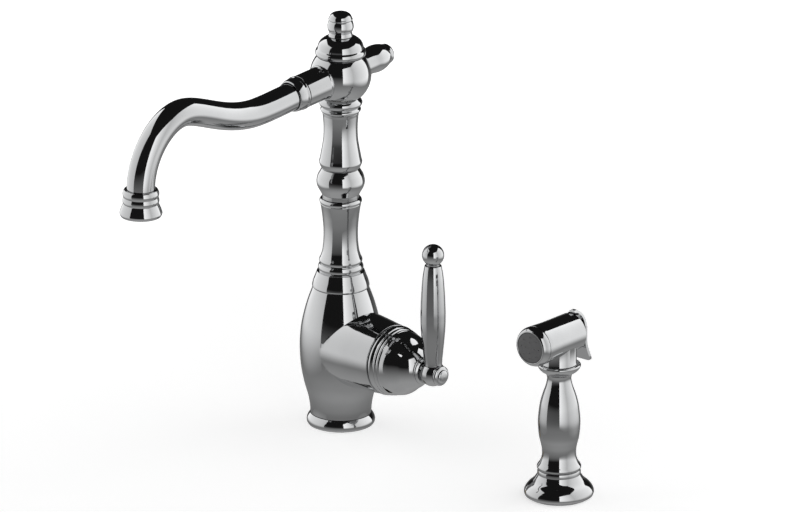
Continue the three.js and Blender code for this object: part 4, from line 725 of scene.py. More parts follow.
def spout_hub():
    globe = turned([(0, -HUB_DROP), *arc(HUB_R, -HUB_DROP, HUB_RISE, 32), (0, HUB_RISE)])
    arm = turned([
        (0, 0), (ARM_R, 0), (ARM_R, ARM_RING_AT),
        *bead(ARM_RING_R, ARM_RING_R - ARM_R, ARM_RING_AT + GAP, ARM_RING_AT + GAP + ARM_RING_W),
        (ARM_R, ARM_L), (0, ARM_L)])
    knob_seat = KNOB_FROM - GAP
    centre = shift(0, 0, HUB_Z)
    solid = joined(placed(globe, centre), placed(arm, ACROSS))
    piece("spout_hub", "spout", cut(
        solid,
        placed(rod(HUB_BORE, -HUB_DROP - OVERRUN, HUB_RISE + OVERRUN), centre),
        placed(rod(CHAMBER_R, -CHAMBER_H / 2, CHAMBER_H / 2), centre),
        placed(rod(RECESS_R, HUB_RISE - RECESS_DEPTH, HUB_RISE + OVERRUN), centre),
        placed(rod(ARM_BORE, 0, ARM_L + OVERRUN), ACROSS),
        placed(rod(KNOB_R + OVERRUN, -HUB_R - OVERRUN, -knob_seat), ACROSS),
        placed(rod(KNOB_STUD_R + GAP, -knob_seat - OVERRUN, -knob_seat + KNOB_STUD_L), ACROSS)))


def rear_knob():
    stud_end = KNOB_FROM - KNOB_STUD_L + GAP
    outside = shares([
        (KNOB_R - 1.3, 0), (KNOB_R - 0.9, 0.26), (KNOB_R, 0.46), (KNOB_R - 0.7, 0.64), (KNOB_R - 2.2, 0.77),
    ], KNOB_FROM, KNOB_L)
    end = shares([
        (KNOB_R - 3.4, 0.81), (KNOB_R - 3, 0.84), (KNOB_R - 3.6, 0.91), (KNOB_R - 6.6, 0.98), (0, 1),
    ], KNOB_FROM, KNOB_L)
    backward = ACROSS @ Matrix.Rotation(math.pi, 4, "X")
    piece("rear_knob", "spout", turned([
        (0, stud_end), (KNOB_STUD_R, stud_end), (KNOB_STUD_R, KNOB_FROM),
        *spline(outside), *spline(end)]), backward)


def dome_cap():
    collar = profile([
        (DOME_R - 1.7, 0), (DOME_R - 0.5, 0.05), (DOME_R, 0.16), (DOME_R - 0.4, 0.28), (DOME_R - 1.4, 0.35),
    ], DOME_Z, DOME_H)
    cap = profile([
        (DOME_R - 1.8, 0.37), (DOME_R - 2.1, 0.48), (DOME_R - 2.8, 0.6), (DOME_R - 4, 0.715),
        (DOME_R - 6, 0.82), (DOME_R - 8.3, 0.91), (DOME_TOP_R + 1, 0.98), (DOME_TOP_R, 1),
    ], DOME_Z, DOME_H)
    rim_z = DOME_Z - RECESS_DEPTH + GAP
    piece("dome_cap", "spout", turned([
        (DOME_CAVITY_R, rim_z), (RECESS_R - GAP, rim_z), (RECESS_R - GAP, DOME_Z), *collar, *cap,
        (STUD_R + GAP, DOME_Z + DOME_H), (STUD_R + GAP, DOME_Z + DOME_CAVITY_H),
        (DOME_CAVITY_R, DOME_Z + DOME_CAVITY_H)]))


def finial():
    foot = profile([
        (FINIAL_R - 0.9, 0), (FINIAL_R - 1.4, 0.1), (FINIAL_R - 1.7, 0.145)], FINIAL_Z, FINIAL_H)
    ball = profile([
        (FINIAL_R - 1, 0.2), (FINIAL_R - 0.2, 0.3), (FINIAL_R, 0.4), (FINIAL_R - 0.3, 0.51),
        (FINIAL_R - 0.9, 0.6), (FINIAL_R - 1.4, 0.64)], FINIAL_Z, FINIAL_H)
    cap = profile([
        (FINIAL_R - 1.6, 0.78), (FINIAL_R - 2.8, 0.885), (FINIAL_R - 5.6, 0.965), (0, 1),
    ], FINIAL_Z, FINIAL_H)
    band = bead(FINIAL_R - 0.9, 0.5, FINIAL_Z + 0.65 * FINIAL_H, FINIAL_Z + 0.75 * FINIAL_H)
    piece("finial", "spout", turned([
        (0, FINIAL_Z - FINIAL_STUD_L), (STUD_R, FINIAL_Z - FINIAL_STUD_L), (STUD_R, FINIAL_Z),
        *foot, *ball, *band, *cap]))


# ---- Spout ----
def bezier(a, b, c, d, steps):
    """A curve from a to d, pulled towards b and c, without its last point."""
    points = []
    for i in range(steps):
        t = i / steps
        weights = ((1 - t) ** 3, 3 * t * (1 - t) ** 2, 3 * t ** 2 * (1 - t), t ** 3)
        points.append(tuple(sum(w * p[k] for w, p in zip(weights, (a, b, c, d))) for k in (0, 1)))
    return points


def spout_path():
    """Points (reach, rise) from the hub's centre along the tube's middle."""
    start = ARM_L + GAP

    def on_arm(distance):
        return (distance * math.cos(CROSS_TILT), -distance * math.sin(CROSS_TILT))

    def beside(point, run):
        return (point[0] + run, point[1])

    bend_end, above_end = (SPOUT_REACH, -BEND_DROP), (SPOUT_REACH, END_PULL - BEND_DROP)
    return [
        *bezier(on_arm(start), on_arm(start + ARM_PULL), beside(TROUGH, -ARM_PULL), TROUGH, ARM_STEPS),
        *bezier(TROUGH, beside(TROUGH, TROUGH_PULL), beside(CREST, -CREST_PULL), CREST, BEND_STEPS),
        *bezier(CREST, beside(CREST, FALL_PULL), above_end, bend_end, BEND_STEPS),
        bend_end, (SPOUT_REACH, -TUBE_DROP)]


def spout_tube():
    middle = [Vector((0, -reach, HUB_Z + rise)) for reach, rise in spout_path()]
    side = Vector((1, 0, 0))
    outer, inner = [], []
    for i, point in enumerate(middle):
        along = (middle[min(i + 1, len(middle) - 1)] - middle[max(i - 1, 0)]).normalized()
        across = along.cross(side)
        outer.append([point + side * x + across * y for x, y in circle(TUBE_R, TUBE_SIDES)])
        inner.append([point + side * x + across * y for x, y in circle(TUBE_BORE, TUBE_SIDES)])
    piece("spout_tube", "spout", skin(outer + inner[::-1], True))


def spout_sleeve():
    sleeve_from = ARM_L + GAP
    lip = profile([
        (SLEEVE_R - 0.8, 0), (SLEEVE_R - 0.1, 0.08), (SLEEVE_R, 0.17), (SLEEVE_R - 0.6, 0.3),
    ], sleeve_from, SLEEVE_L)
    barrel = shares([
        (SLEEVE_R - 0.4, 0.36), (SLEEVE_R - 0.8, 0.8), (SLEEVE_R - 1.2, 0.94), (SLEEVE_R - 1.9, 1),
    ], sleeve_from, SLEEVE_L)
    end = sleeve_from + SLEEVE_L
    piece("spout_sleeve", "spout", turned([
        (TUBE_HOLE, sleeve_from), *lip, *barrel, (TUBE_HOLE, end)]), ACROSS)


def spout_bell():
    outlet = shift(0, -SPOUT_REACH, HUB_Z - TUBE_DROP)
    skirt = profile([
        (BELL_R - 0.9, 0), (BELL_R, 0.09), (BELL_R - 0.1, 0.15), (BELL_R - 1.3, 0.3),
        (BELL_RING_R - 0.2, 0.43), (BELL_RING_R - 0.5, 0.46)], -BELL_BELOW, BELL_H)
    rings = ((0.47, 0.7), (0.72, 0.96))
    low, high = [(-BELL_BELOW + a * BELL_H, -BELL_BELOW + b * BELL_H) for a, b in rings]
    insert_bore, top = AERATOR_R + GAP, BELL_H - BELL_BELOW
    piece("spout_bell", "spout", turned([
        (insert_bore, -BELL_BELOW), *skirt,
        *bead(BELL_RING_R, 0.7, *low), *bead(BELL_RING_R - 0.1, 0.7, *high),
        (BELL_RING_R - 1.4, top), (TUBE_HOLE, top), (TUBE_HOLE, -GAP), (TUBE_BORE, -GAP),
        (TUBE_BORE, -GAP - LEDGE_T), (insert_bore, -GAP - LEDGE_T)]), outlet)


# ---- Valve's bonnet ----
def stem_mouth():
    """The way that the stem sweeps: a sector with rounded corners, drawn with its first axis down."""
    reach, radius = ROUND_R * math.sin(TIP_MAX), STEM_R + LOOSE
    down, aside = reach * math.cos(TURN_MAX), reach * math.sin(TURN_MAX)

    def run(x, y, r, start, end):
        angles = [start + (end - start) * i / MOUTH_STEPS for i in range(MOUTH_STEPS + 1)]
        return [(x + r * math.cos(a), y + r * math.sin(a)) for a in angles]

    quarter = math.pi / 2
    outline = [
        *run(down, aside, radius, TURN_MAX, TURN_MAX + quarter),
        *run(0, 0, radius, TURN_MAX + quarter, 3 * quarter - TURN_MAX),
        *run(down, -aside, radius, -TURN_MAX - quarter, -TURN_MAX),
        *run(0, 0, reach + radius, -TURN_MAX, TURN_MAX),
    ]
    clean = [p for i, p in enumerate(outline) if (Vector(p) - Vector(outline[i - 1])).length > TINY]
    return placed(prism(clean, PIVOT_X, PIVOT_X + ROUND_R + OVERRUN), VALVE, ALONG_X)


def valve_bonnet():
    beads_from = HOUSING_END + GAP
    beads_to = beads_from + BEADS_L
    first, second = beads_from + 0.47 * BEADS_L, beads_from + 0.77 * BEADS_L
    round_from = PIVOT_X + ROUND_FROM
    dome_l = round_from - beads_to
    dome = spline([
        (DOME_SHOULDER_R, beads_to + 0.7), (DOME_SHOULDER_R - 0.8, beads_to + 0.3 * dome_l),
        (DOME_SHOULDER_R - 2.5, beads_to + 0.59 * dome_l),
        (math.sqrt(ROUND_R ** 2 - ROUND_FROM ** 2), round_from)])
    inner_r, neck_bore = ROUND_R - ROUND_WALL, CART_NECK_R + GAP
    outer_round = [(r, PIVOT_X + x) for r, x in arc(ROUND_R, ROUND_FROM, ROUND_R, 24)[1:-1]]
    inner_from = math.sqrt(inner_r ** 2 - neck_bore ** 2)
    inner_round = [(r, PIVOT_X + x) for r, x in arc(inner_r, inner_from, inner_r, 16)]
    solid = turned([
        (CART_R + GAP, HOUSING_END - THREAD_L), (THREAD_R, HOUSING_END - THREAD_L), (THREAD_R, beads_from),
        *bead(BEAD_R, 1.5, beads_from, first), *bead(BEAD_R - 1, 1, first + GAP, second),
        *bead(BEAD_R - 1.8, 0.8, second + GAP, beads_to), *dome, *outer_round, (0, PIVOT_X + ROUND_R),
        (0, PIVOT_X + inner_r), *inner_round[-2::-1],
        (neck_bore, CART_TOP_X + GAP), (CART_R + GAP, CART_TOP_X + GAP),
    ])
    piece("valve_bonnet", "root", cut(placed(solid, VALVE, ALONG_X), stem_mouth()))


# ---- Lever ----
def lever_skirt():
    def under(r):
        return PIVOT_X + math.sqrt((ROUND_R + LOOSE) ** 2 - r ** 2)

    rim, shoulder = under(SKIRT_R), LEVER_X - GRIP_FOOT_R - LOOSE
    neck, top, bore = BALL_TOP_FLAT - GAP, LEVER_X - BALL_INNER_FLAT - GAP, STEM_R + GAP
    step = (shoulder - rim) / 4
    ridges = [
        *bead(SKIRT_R + 0.2, 0.6, rim, rim + 1.5 * step),
        *bead(SKIRT_R - 0.5, 0.7, rim + 1.6 * step, rim + 3 * step),
        (SKIRT_R - 2, shoulder)]
    underside = [(r, under(r)) for r in (bore, 0.35 * SKIRT_R + bore / 2, 0.7 * SKIRT_R, 0.85 * SKIRT_R)]
    piece("lever_skirt", "lever", turned([
        *ridges, (neck, shoulder), (neck, top), (bore, top), *underside]), VALVE @ ALONG_X)


def lever_ball():
    globe = turned([(0, -BALL_INNER_FLAT), *arc(LEVER_BALL_R, -BALL_INNER_FLAT, BALL_OUTER_FLAT, 24),
                    (0, BALL_OUTER_FLAT)])
    bore_end = STEM_PAST + GAP
    shaped = cut(
        placed(globe, ALONG_X),
        rod(LEVER_BALL_R, BALL_TOP_FLAT, LEVER_BALL_R + OVERRUN),
        rod(GRIP_STUD_R + GAP, BALL_TOP_FLAT - GRIP_STUD_L - GAP, BALL_TOP_FLAT + OVERRUN),
        rod(SCREW_R + GAP, -LEVER_BALL_R - OVERRUN, 0),
        placed(rod(STEM_R + GAP, -LEVER_BALL_R, bore_end), ALONG_X),
        placed(rod(BUTTON_STUD_R + GAP, bore_end - OVERRUN, LEVER_BALL_R), ALONG_X))
    piece("lever_ball", "lever", shaped, LEVER)


def lever_button():
    rim = profile([
        (BUTTON_R - 0.8, 0), (BUTTON_R, 0.17), (BUTTON_R - 0.2, 0.39), (BUTTON_R - 1.3, 0.56),
    ], 0, BUTTON_H)
    cap = profile([
        (BUTTON_R - 2.7, 0.6), (BUTTON_R - 2.8, 0.66), (BUTTON_R - 3.3, 0.8), (BUTTON_R - 5, 0.94), (0, 1),
    ], 0, BUTTON_H)
    piece("lever_button", "lever", turned([
        (0, -BUTTON_STUD_L), (BUTTON_STUD_R, -BUTTON_STUD_L), (BUTTON_STUD_R, 0), *rim, *cap]),
        LEVER @ shift(BALL_OUTER_FLAT + GAP, 0, 0) @ ALONG_X)


def lever_grip():
    foot = BALL_TOP_FLAT + GAP
    top, stud_hole = foot + GRIP_H, TOP_STUD_R + GAP
    outside = profile([
        (GRIP_FOOT_R, 0), (GRIP_FOOT_R + 0.3, 0.065), (GRIP_R - 0.4, 0.336), (GRIP_R, 0.4875),
        (GRIP_R - 0.1, 0.5775), (GRIP_R - 0.55, 0.697), (GRIP_R - 1.25, 0.822), (GRIP_R - 2.05, 0.909),
        (GRIP_TOP_R, 1)], foot, GRIP_H)
    piece("lever_grip", "lever", turned([
        (0, foot - GRIP_STUD_L), (GRIP_STUD_R, foot - GRIP_STUD_L), (GRIP_STUD_R, foot), *outside,
        (stud_hole, top), (stud_hole, top - TOP_STUD_L - GAP), (0, top - TOP_STUD_L - GAP)]), LEVER)


def lever_finial():
    top = BALL_TOP_FLAT + GAP + GRIP_H
    ball_foot = math.sqrt(TOP_BALL_R ** 2 - TOP_FOOT_R ** 2)
    ball = [(r, z + TOP_BALL_RISE) for r, z in arc(TOP_BALL_R, -ball_foot, TOP_BALL_R, 30)[:-1]]
    piece("lever_finial", "lever", turned([
        (0, -TOP_STUD_L), (TOP_STUD_R, -TOP_STUD_L), (TOP_STUD_R, 0), (TOP_FOOT_R, 0), *ball,
        (0, TOP_BALL_RISE + TOP_BALL_R)]), LEVER @ shift(0, 0, top + GAP))


# ---- Side spray: holder, handle and neck ----
def spray_holder():
    shank_r, shank_end = HOLDER_SHANK_R * WITHIN_FACETS, -DECK - HOLDER_BELOW
    outside = profile([
        (HOLDER_R - 0.8, 0.075), (HOLDER_R, 0.18), (HOLDER_R - 0.8, 0.31), (HOLDER_R - 3.4, 0.46),
        (HOLDER_R - 7.5, 0.61), (HOLDER_TOP_R + 1, 0.755), (HOLDER_TOP_R - 0.2, 0.84)], 0, HOLDER_H)
    piece("spray_holder", "root", turned([
        (HOLDER_BORE, shank_end), (shank_r, shank_end), (shank_r, 0), *gasket_groove(HOLDER_GASKET_R),
        (HOLDER_R - 3.6, 0), *outside, (HOLDER_TOP_R, 0.92 * HOLDER_H), (HOLDER_TOP_R - 0.4, HOLDER_H),
        (HOLDER_BORE + 0.8, HOLDER_H), (HOLDER_BORE, HOLDER_H - 0.8)]), SPRAY)
    piece("holder_gasket", "root", gasket(HOLDER_GASKET_R), SPRAY, "rubber")


def spray_handle():
    foot, spigot_r = HANDLE_Z - HANDLE_SPIGOT_L, HOLDER_BORE - LOOSE
    outside = profile([
        (HANDLE_WAIST_R + 1.9, 0.075), (HANDLE_WAIST_R + 0.5, 0.12), (HANDLE_WAIST_R, 0.165),
        (HANDLE_WAIST_R + 0.3, 0.225), (HANDLE_R - 2.1, 0.287), (HANDLE_R - 0.9, 0.35),
        (HANDLE_R - 0.2, 0.434), (HANDLE_R, 0.519), (HANDLE_R - 0.9, 0.63), (HANDLE_R - 2, 0.71),
        (HANDLE_R - 4, 0.795), (HANDLE_NECK_R + 1.3, 0.875), (HANDLE_NECK_R, 0.95),
        (HANDLE_NECK_R + 0.7, 1)], HANDLE_Z, HANDLE_H)
    socket_r, socket_floor = NECK_PLUG_R + GAP, HANDLE_TOP - NECK_PLUG_L - GAP
    lip = spline([
        (HANDLE_LIP_R - 0.8, HANDLE_Z), (HANDLE_LIP_R, HANDLE_Z + 1.4),
        (HANDLE_LIP_R, HANDLE_Z + 2.9), (HANDLE_LIP_R - 0.9, HANDLE_Z + 4.5)])
    piece("spray_handle", "spray", turned([
        (HANDLE_BORE, foot), (spigot_r, foot), (spigot_r, HANDLE_Z), *lip, *outside,
        (socket_r, HANDLE_TOP), (socket_r, socket_floor), (HANDLE_BORE, socket_floor)]), SPRAY)


def spray_neck():
    socket_r, socket_floor = STUB_PLUG_R + GAP, NECK_TOP - STUB_PLUG_L - GAP
    outside = profile([
        (HANDLE_NECK_R + 0.9, 0), (NECK_R - 6.4, 0.08), (NECK_R - 4.4, 0.22), (NECK_R - 2.1, 0.43),
        (NECK_R - 0.6, 0.67), (NECK_R, 0.88), (NECK_R - 0.6, 1)], NECK_Z, NECK_H)
    piece("spray_neck", "spray", turned([
        (HANDLE_BORE, NECK_Z - NECK_PLUG_L), (NECK_PLUG_R, NECK_Z - NECK_PLUG_L),
        (NECK_PLUG_R, NECK_Z), *outside,
        (socket_r, NECK_TOP), (socket_r, socket_floor), (HANDLE_BORE, socket_floor)]), SPRAY)


# ---- Side spray: head, nozzle and trigger. The head's axis is the origin and -Y its front ----
def spray_head():
    tube = placed(turned([
        (0, -HEAD_BACK), (HEAD_R - 0.8, -HEAD_BACK), (HEAD_R, 0.8 - HEAD_BACK), (HEAD_R, 0.45 * HEAD_FRONT),
        (HEAD_FRONT_R - 0.2, 0.85 * HEAD_FRONT), (HEAD_FRONT_R, HEAD_FRONT), (0, HEAD_FRONT)]), FORWARD)
    stub = turned([
        (0, -HEAD_RISE - STUB_PLUG_L), (STUB_PLUG_R, -HEAD_RISE - STUB_PLUG_L), (STUB_PLUG_R, -HEAD_RISE),
        (STUB_R + 0.6, -HEAD_RISE), (STUB_R, 1.6 - HEAD_RISE), (STUB_R, 0), (0, 0)])
    pin = shift(0, PIN_BACK, PIN_RISE)
    lug = joined(
        block(-LUG_W / 2, LUG_W / 2, HEAD_BACK - 2, PIN_BACK, PIN_RISE - KNUCKLE_R, PIN_RISE + KNUCKLE_R),
        placed(rod(KNUCKLE_R, -LUG_W / 2, LUG_W / 2), pin, ALONG_X))
    piece("spray_head", "spray", cut(
        joined(tube, stub, lug),
        placed(rod(HEAD_BORE, WEB_FRONT, HEAD_FRONT + OVERRUN), FORWARD),
        placed(rod(BACK_BORE, -HEAD_BACK - OVERRUN, WEB_FRONT - WEB_T), FORWARD),
        placed(rod(VALVE_PORT_R, 0, WEB_FRONT + OVERRUN), shift(0, 0, -PLUNGER_DROP), FORWARD),
        rod(HANDLE_BORE, -HEAD_RISE - STUB_PLUG_L - OVERRUN, -BACK_BORE / 2),
        placed(rod(PIN_R + GAP, -LUG_W, LUG_W), pin, ALONG_X)), HEAD)


def spray_nozzle():
    start = HEAD_FRONT + GAP
    ledge, spigot_r = start + NOZZLE_L - FACE_T, HEAD_BORE - GAP
    outside = profile([
        (HEAD_FRONT_R - 0.2, 0), (HEAD_FRONT_R, 0.12), (HEAD_FRONT_R - 0.2, 0.4), (HEAD_FRONT_R - 1, 0.72),
        (NOZZLE_LIP_R + 0.9, 0.93), (NOZZLE_LIP_R, 1)], start, NOZZLE_L)
    piece("spray_nozzle", "spray", turned([
        (NOZZLE_BORE, start - NOZZLE_SPIGOT_L), (spigot_r, start - NOZZLE_SPIGOT_L),
        (spigot_r, start), *outside,
        (FACE_R + GAP, start + NOZZLE_L), (FACE_R + GAP, ledge), (NOZZLE_BORE, ledge)]), HEAD @ FORWARD)


def spray_face():
    back = HEAD_FRONT + GAP + NOZZLE_L - FACE_T + GAP
    front = back + FACE_T
    disc = turned([
        (0, back), (FACE_R, back), (FACE_R, front - FACE_DOME),
        (0.85 * FACE_R, front - 0.5 * FACE_DOME), (0, front)], BORE_SIDES, 0.2)
    holes = [placed(rod(FACE_HOLE_R, back - OVERRUN, front + OVERRUN, HOLE_SIDES), shift(x, y, 0))
             for count, radius in FACE_RINGS for x, y in circle(radius, count)]
    piece("spray_face", "spray", cut(disc, gathered(holes)), HEAD @ FORWARD, "grey_face")


def back_cap():
    start = HEAD_BACK + GAP
    end = start + BACK_CAP_T
    cap = turned([
        (0, start - BACK_PLUG_L), (BACK_BORE - GAP, start - BACK_PLUG_L), (BACK_BORE - GAP, start),
        *spline([
            (BACK_CAP_R, start), (BACK_CAP_R - 0.2, end - BACK_CAP_DOME),
            (0.6 * BACK_CAP_R, end - 0.2), (0, end)])])
    way = placed(rod(PLUNGER_R + GAP, 0, end + OVERRUN), shift(0, PLUNGER_DROP, 0))
    piece("spray_back_cap", "spray", cut(cap, way), HEAD @ ALONG_Y)


def plunger_spring():
    """A coil of even pitch along the plunger's line, fixed with the spray's head."""
    length, steps = SPRING_TO - SPRING_FROM, TURN_STEPS * SPRING_TURNS
    rings = []
    for i in range(steps + 1):
        angle = 2 * math.pi * SPRING_TURNS * i / steps
        radial = Vector((math.cos(angle), math.sin(angle), 0))
        centre = radial * SPRING_R + Vector((0, 0, SPRING_FROM + length * i / steps))
        pitch = length / (2 * math.pi * SPRING_TURNS)
        along = Vector((-SPRING_R * radial.y, SPRING_R * radial.x, pitch)).normalized()
        across = along.cross(radial)
        rings.append([centre + radial * x + across * y for x, y in circle(SPRING_WIRE_R, WIRE_SIDES)])
        if i in (0, steps):
            rings.insert(len(rings) if i else 0, [centre])
    place = HEAD @ shift(0, 0, -PLUNGER_DROP) @ FORWARD
    spring = piece("plunger_spring", "spray", skin(rings, False), place, "steel")
    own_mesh(spring)


def trigger_side():
    """The plate from the side, as (depth, height): half its thickness each side of a smooth line."""
    crest, foot = TRIGGER_TOP - TRIGGER_T / 2, TRIGGER_T / 2 - TRIGGER_FOOT
    paddle = TRIGGER_FOOT - TRIGGER_BEND
    line = [Vector(p) for p in spline([
        (PIN_BACK - 2.4, crest), (PIN_BACK + 1.2, crest - 1.1), (TRIGGER_BACK - 0.3, crest - 4.6),
        (TRIGGER_BACK, crest - 9), (TRIGGER_BACK, 0), (TRIGGER_BACK, -TRIGGER_BEND),
        (TRIGGER_BACK + 0.25 * TRIGGER_KICK, -TRIGGER_BEND - 0.33 * paddle),
        (TRIGGER_BACK + TRIGGER_KICK, foot)])]
    left, right = [], []
    for i, point in enumerate(line):
        along = (line[min(i + 1, len(line) - 1)] - line[max(i - 1, 0)]).normalized()
        side = Vector((-along.y, along.x)) * TRIGGER_T / 2
        left.append(tuple(point + side))
        right.insert(0, tuple(point - side))
    return left + right


def spray_trigger():
    half = [(2.6, TRIGGER_TOP - 1.3), (TRIGGER_HALF_W - 4.6, TRIGGER_TOP - 4.6),
            (TRIGGER_HALF_W - 1.5, TRIGGER_TOP - 9.4), (TRIGGER_HALF_W, TRIGGER_TOP - 14.2),
            (TRIGGER_HALF_W, 4 - TRIGGER_FOOT), (TRIGGER_HALF_W - 1, 1.6 - TRIGGER_FOOT),
            (TRIGGER_HALF_W - 3.6, 0.2 - TRIGGER_FOOT)]
    front = [(0, TRIGGER_TOP), *half, *[(-w, z) for w, z in half[::-1]]]
    deep = TRIGGER_BACK + TRIGGER_KICK + 2 * TRIGGER_T
    sideways = Matrix(((0, 0, 1, 0), (1, 0, 0, 0), (0, 1, 0, 0), (0, 0, 0, 1)))
    plate = combined(
        placed(prism(trigger_side(), -TRIGGER_HALF_W, TRIGGER_HALF_W), sideways), "INTERSECT",
        placed(prism(front, 0, deep), shift(0, deep, 0), FORWARD))
    ear_from = LUG_W / 2 + GAP
    ear_to, pin = ear_from + EAR_T, shift(0, PIN_BACK, PIN_RISE)
    three_quarters = circle(KNUCKLE_R, BORE_SIDES)[:3 * BORE_SIDES // 4 + 1]
    knuckle = [(PIN_BACK + x, PIN_RISE + y) for x, y in three_quarters]
    ear = [(TRIGGER_BACK, PIN_RISE - KNUCKLE_R), (TRIGGER_BACK, PIN_RISE), *knuckle]
    spans = ((ear_from, ear_to), (-ear_to, -ear_from))
    ears = [placed(prism(ear, low, high), sideways) for low, high in spans]
    hole = placed(rod(PIN_R + GAP, -ear_to - OVERRUN, ear_to + OVERRUN), pin, ALONG_X)
    piece("spray_trigger", "trigger", cut(joined(plate, *ears), hole), HEAD)


# ---- Studio ----
def floor_material():
    """Pale and matt. Camera rays alone see it lit up to white, most of all away from the object."""
    material = bpy.data.materials.new("floor")
    material.use_nodes = True
    nodes, links = material.node_tree.nodes, material.node_tree.links
    nodes.clear()
    out = nodes.new("ShaderNodeOutputMaterial")
    diffuse = nodes.new("ShaderNodeBsdfDiffuse")
    diffuse.inputs["Color"].default_value = (FLOOR_WHITE, FLOOR_WHITE, FLOOR_WHITE, 1)
    glow = nodes.new("ShaderNodeEmission")
    path = nodes.new("ShaderNodeLightPath")
    place = nodes.new("ShaderNodeTexCoord")
    distance = nodes.new("ShaderNodeVectorMath")
    distance.operation = "LENGTH"
    spread = nodes.new("ShaderNodeMapRange")
    spread.inputs["From Min"].default_value = FLOOR_NEAR
    spread.inputs["From Max"].default_value = FLOOR_FAR
    spread.inputs["To Min"].default_value = FLOOR_NEAR_GLOW
    spread.inputs["To Max"].default_value = FLOOR_FAR_GLOW
    strength = nodes.new("ShaderNodeMath")
    strength.operation = "MULTIPLY"
    both = nodes.new("ShaderNodeAddShader")
    links.new(place.outputs["Object"], distance.inputs[0])
    links.new(distance.outputs["Value"], spread.inputs["Value"])
    links.new(spread.outputs["Result"], strength.inputs[0])
    links.new(path.outputs["Is Camera Ray"], strength.inputs[1])
    links.new(strength.outputs["Value"], glow.inputs["Strength"])
    links.new(diffuse.outputs["BSDF"], both.inputs[0])
    links.new(glow.outputs["Emission"], both.inputs[1])
    links.new(both.outputs["Shader"], out.inputs["Surface"])
    return material


def flat_sheet(name, corners, material):
    mesh = bpy.data.meshes.new(name)
    mesh.from_pydata(corners, [], [(0, 1, 2, 3)])
    mesh.materials.append(material)
    obj = bpy.data.objects.new(name, mesh)
    bpy.context.scene.collection.objects.link(obj)
    return obj


def glowing():
    """A card's light: it dims towards +X, and softly towards the card's foot."""
    material = bpy.data.materials.new("light_card")
    material.use_nodes = True
    nodes, links = material.node_tree.nodes, material.node_tree.links
    nodes.clear()
    out = nodes.new("ShaderNodeOutputMaterial")
    glow = nodes.new("ShaderNodeEmission")
    place = nodes.new("ShaderNodeTexCoord")
    split = nodes.new("ShaderNodeSeparateXYZ")
    along = nodes.new("ShaderNodeMapRange")
    along.inputs["To Min"].default_value = CARD_BRIGHT
    along.inputs["To Max"].default_value = CARD_DIM
    upward = nodes.new("ShaderNodeMapRange")
    upward.interpolation_type = "SMOOTHSTEP"
    upward.inputs["From Max"].default_value = CARD_FADE
    upward.inputs["To Min"].default_value = CARD_FOOT
    links.new(place.outputs["Generated"], split.inputs["Vector"])
    links.new(split.outputs["X"], along.inputs["Value"])
    links.new(split.outputs["Z"], upward.inputs["Value"])
    links.new(along.outputs["Result"], upward.inputs["To Max"])
    links.new(upward.outputs["Result"], glow.inputs["Strength"])
    links.new(glow.outputs["Emission"], out.inputs["Surface"])
    return material


def light_card(name, start, end, material):
    """A tall bright card that the camera doesn't see."""
    to_camera = Vector((math.sin(VIEW_AZIMUTH), -math.cos(VIEW_AZIMUTH), 0))
    to_right = Vector((math.cos(VIEW_AZIMUTH), math.sin(VIEW_AZIMUTH), 0))
    feet = []
    for degrees, distance in (start, end):
        angle = math.radians(degrees)
        feet.append((to_camera * math.cos(angle) + to_right * math.sin(angle)) * distance)
    low, high = Vector((0, 0, CARD_LOW)), Vector((0, 0, CARD_HIGH))
    corners = [feet[0] + low, feet[1] + low, feet[1] + high, feet[0] + high]
    card = flat_sheet(name, corners, material)
    card.visible_camera = False


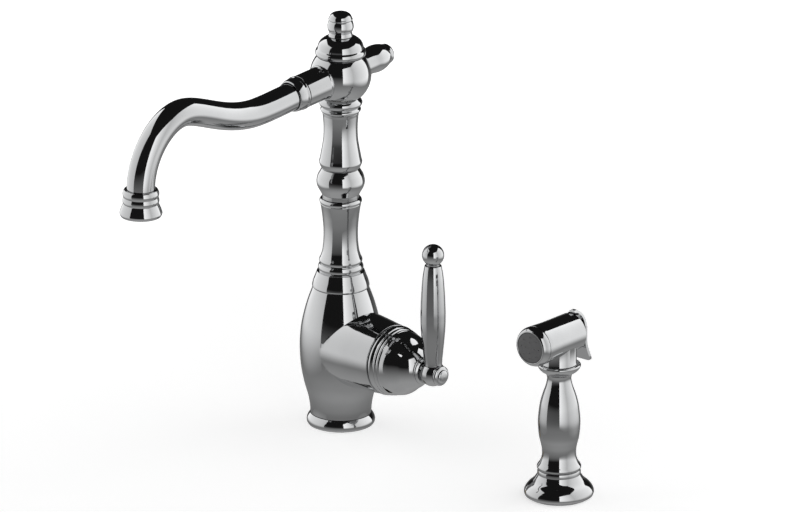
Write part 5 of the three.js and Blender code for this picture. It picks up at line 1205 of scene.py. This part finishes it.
def backdrop():
    """White to the camera. Mirror images see a dark ceiling that passes into a grey ground."""
    world = bpy.data.worlds.new("studio")
    bpy.context.scene.world = world
    world.use_nodes = True
    nodes, links = world.node_tree.nodes, world.node_tree.links
    background = nodes["Background"]
    background.inputs["Color"].default_value = (1, 1, 1, 1)
    path = nodes.new("ShaderNodeLightPath")
    place = nodes.new("ShaderNodeTexCoord")
    split = nodes.new("ShaderNodeSeparateXYZ")
    down = nodes.new("ShaderNodeMapRange")
    down.inputs["From Min"].default_value = HORIZON_TOP
    down.inputs["From Max"].default_value = HORIZON_FOOT
    down.inputs["To Min"].default_value = CEILING
    down.inputs["To Max"].default_value = GROUND
    gloss = nodes.new("ShaderNodeMix")
    gloss.inputs[MIX_A].default_value = AMBIENT
    seen = nodes.new("ShaderNodeMix")
    seen.inputs[MIX_B].default_value = 1
    links.new(place.outputs["Generated"], split.inputs["Vector"])
    links.new(split.outputs["Z"], down.inputs["Value"])
    links.new(down.outputs["Result"], gloss.inputs[MIX_B])
    links.new(path.outputs["Is Glossy Ray"], gloss.inputs[MIX_FACTOR])
    links.new(gloss.outputs[0], seen.inputs[MIX_A])
    links.new(path.outputs["Is Camera Ray"], seen.inputs[MIX_FACTOR])
    links.new(seen.outputs[0], background.inputs["Strength"])


def studio():
    corners = [(x * FLOOR_REACH, y * FLOOR_REACH, 0) for x, y in ((-1, -1), (1, -1), (1, 1), (-1, 1))]
    floor = flat_sheet("floor", corners, floor_material())
    floor.visible_glossy = False
    material = glowing()
    for name, (start, end) in CARDS.items():
        light_card(name, start, end, material)
    backdrop()
    bpy.context.scene.view_settings.view_transform = "Standard"


def camera():
    data = bpy.data.cameras.new("camera")
    data.lens = LENS
    data.sensor_width = SENSOR
    data.clip_end = 3 * VIEW_DISTANCE
    obj = bpy.data.objects.new("camera", data)
    bpy.context.scene.collection.objects.link(obj)
    level = math.cos(VIEW_ELEVATION)
    rise = math.sin(VIEW_ELEVATION)
    back = Vector((math.sin(VIEW_AZIMUTH) * level, -math.cos(VIEW_AZIMUTH) * level, rise))
    obj.location = VIEW_AIM + back * VIEW_DISTANCE
    obj.rotation_mode = "QUATERNION"
    obj.rotation_quaternion = (-back).to_track_quat("-Z", "Y")
    bpy.context.scene.camera = obj


finish_cad_nodes()
base_flange()
faucet_body()
column()
swivel_washer()
spout_hub()
rear_knob()
dome_cap()
finial()
spout_tube()
spout_sleeve()
spout_bell()
valve_bonnet()
lever_skirt()
lever_ball()
lever_button()
lever_grip()
lever_finial()
spray_holder()
spray_handle()
spray_neck()
spray_head()
spray_nozzle()
spray_face()
back_cap()
plunger_spring()
spray_trigger()
studio()
camera()
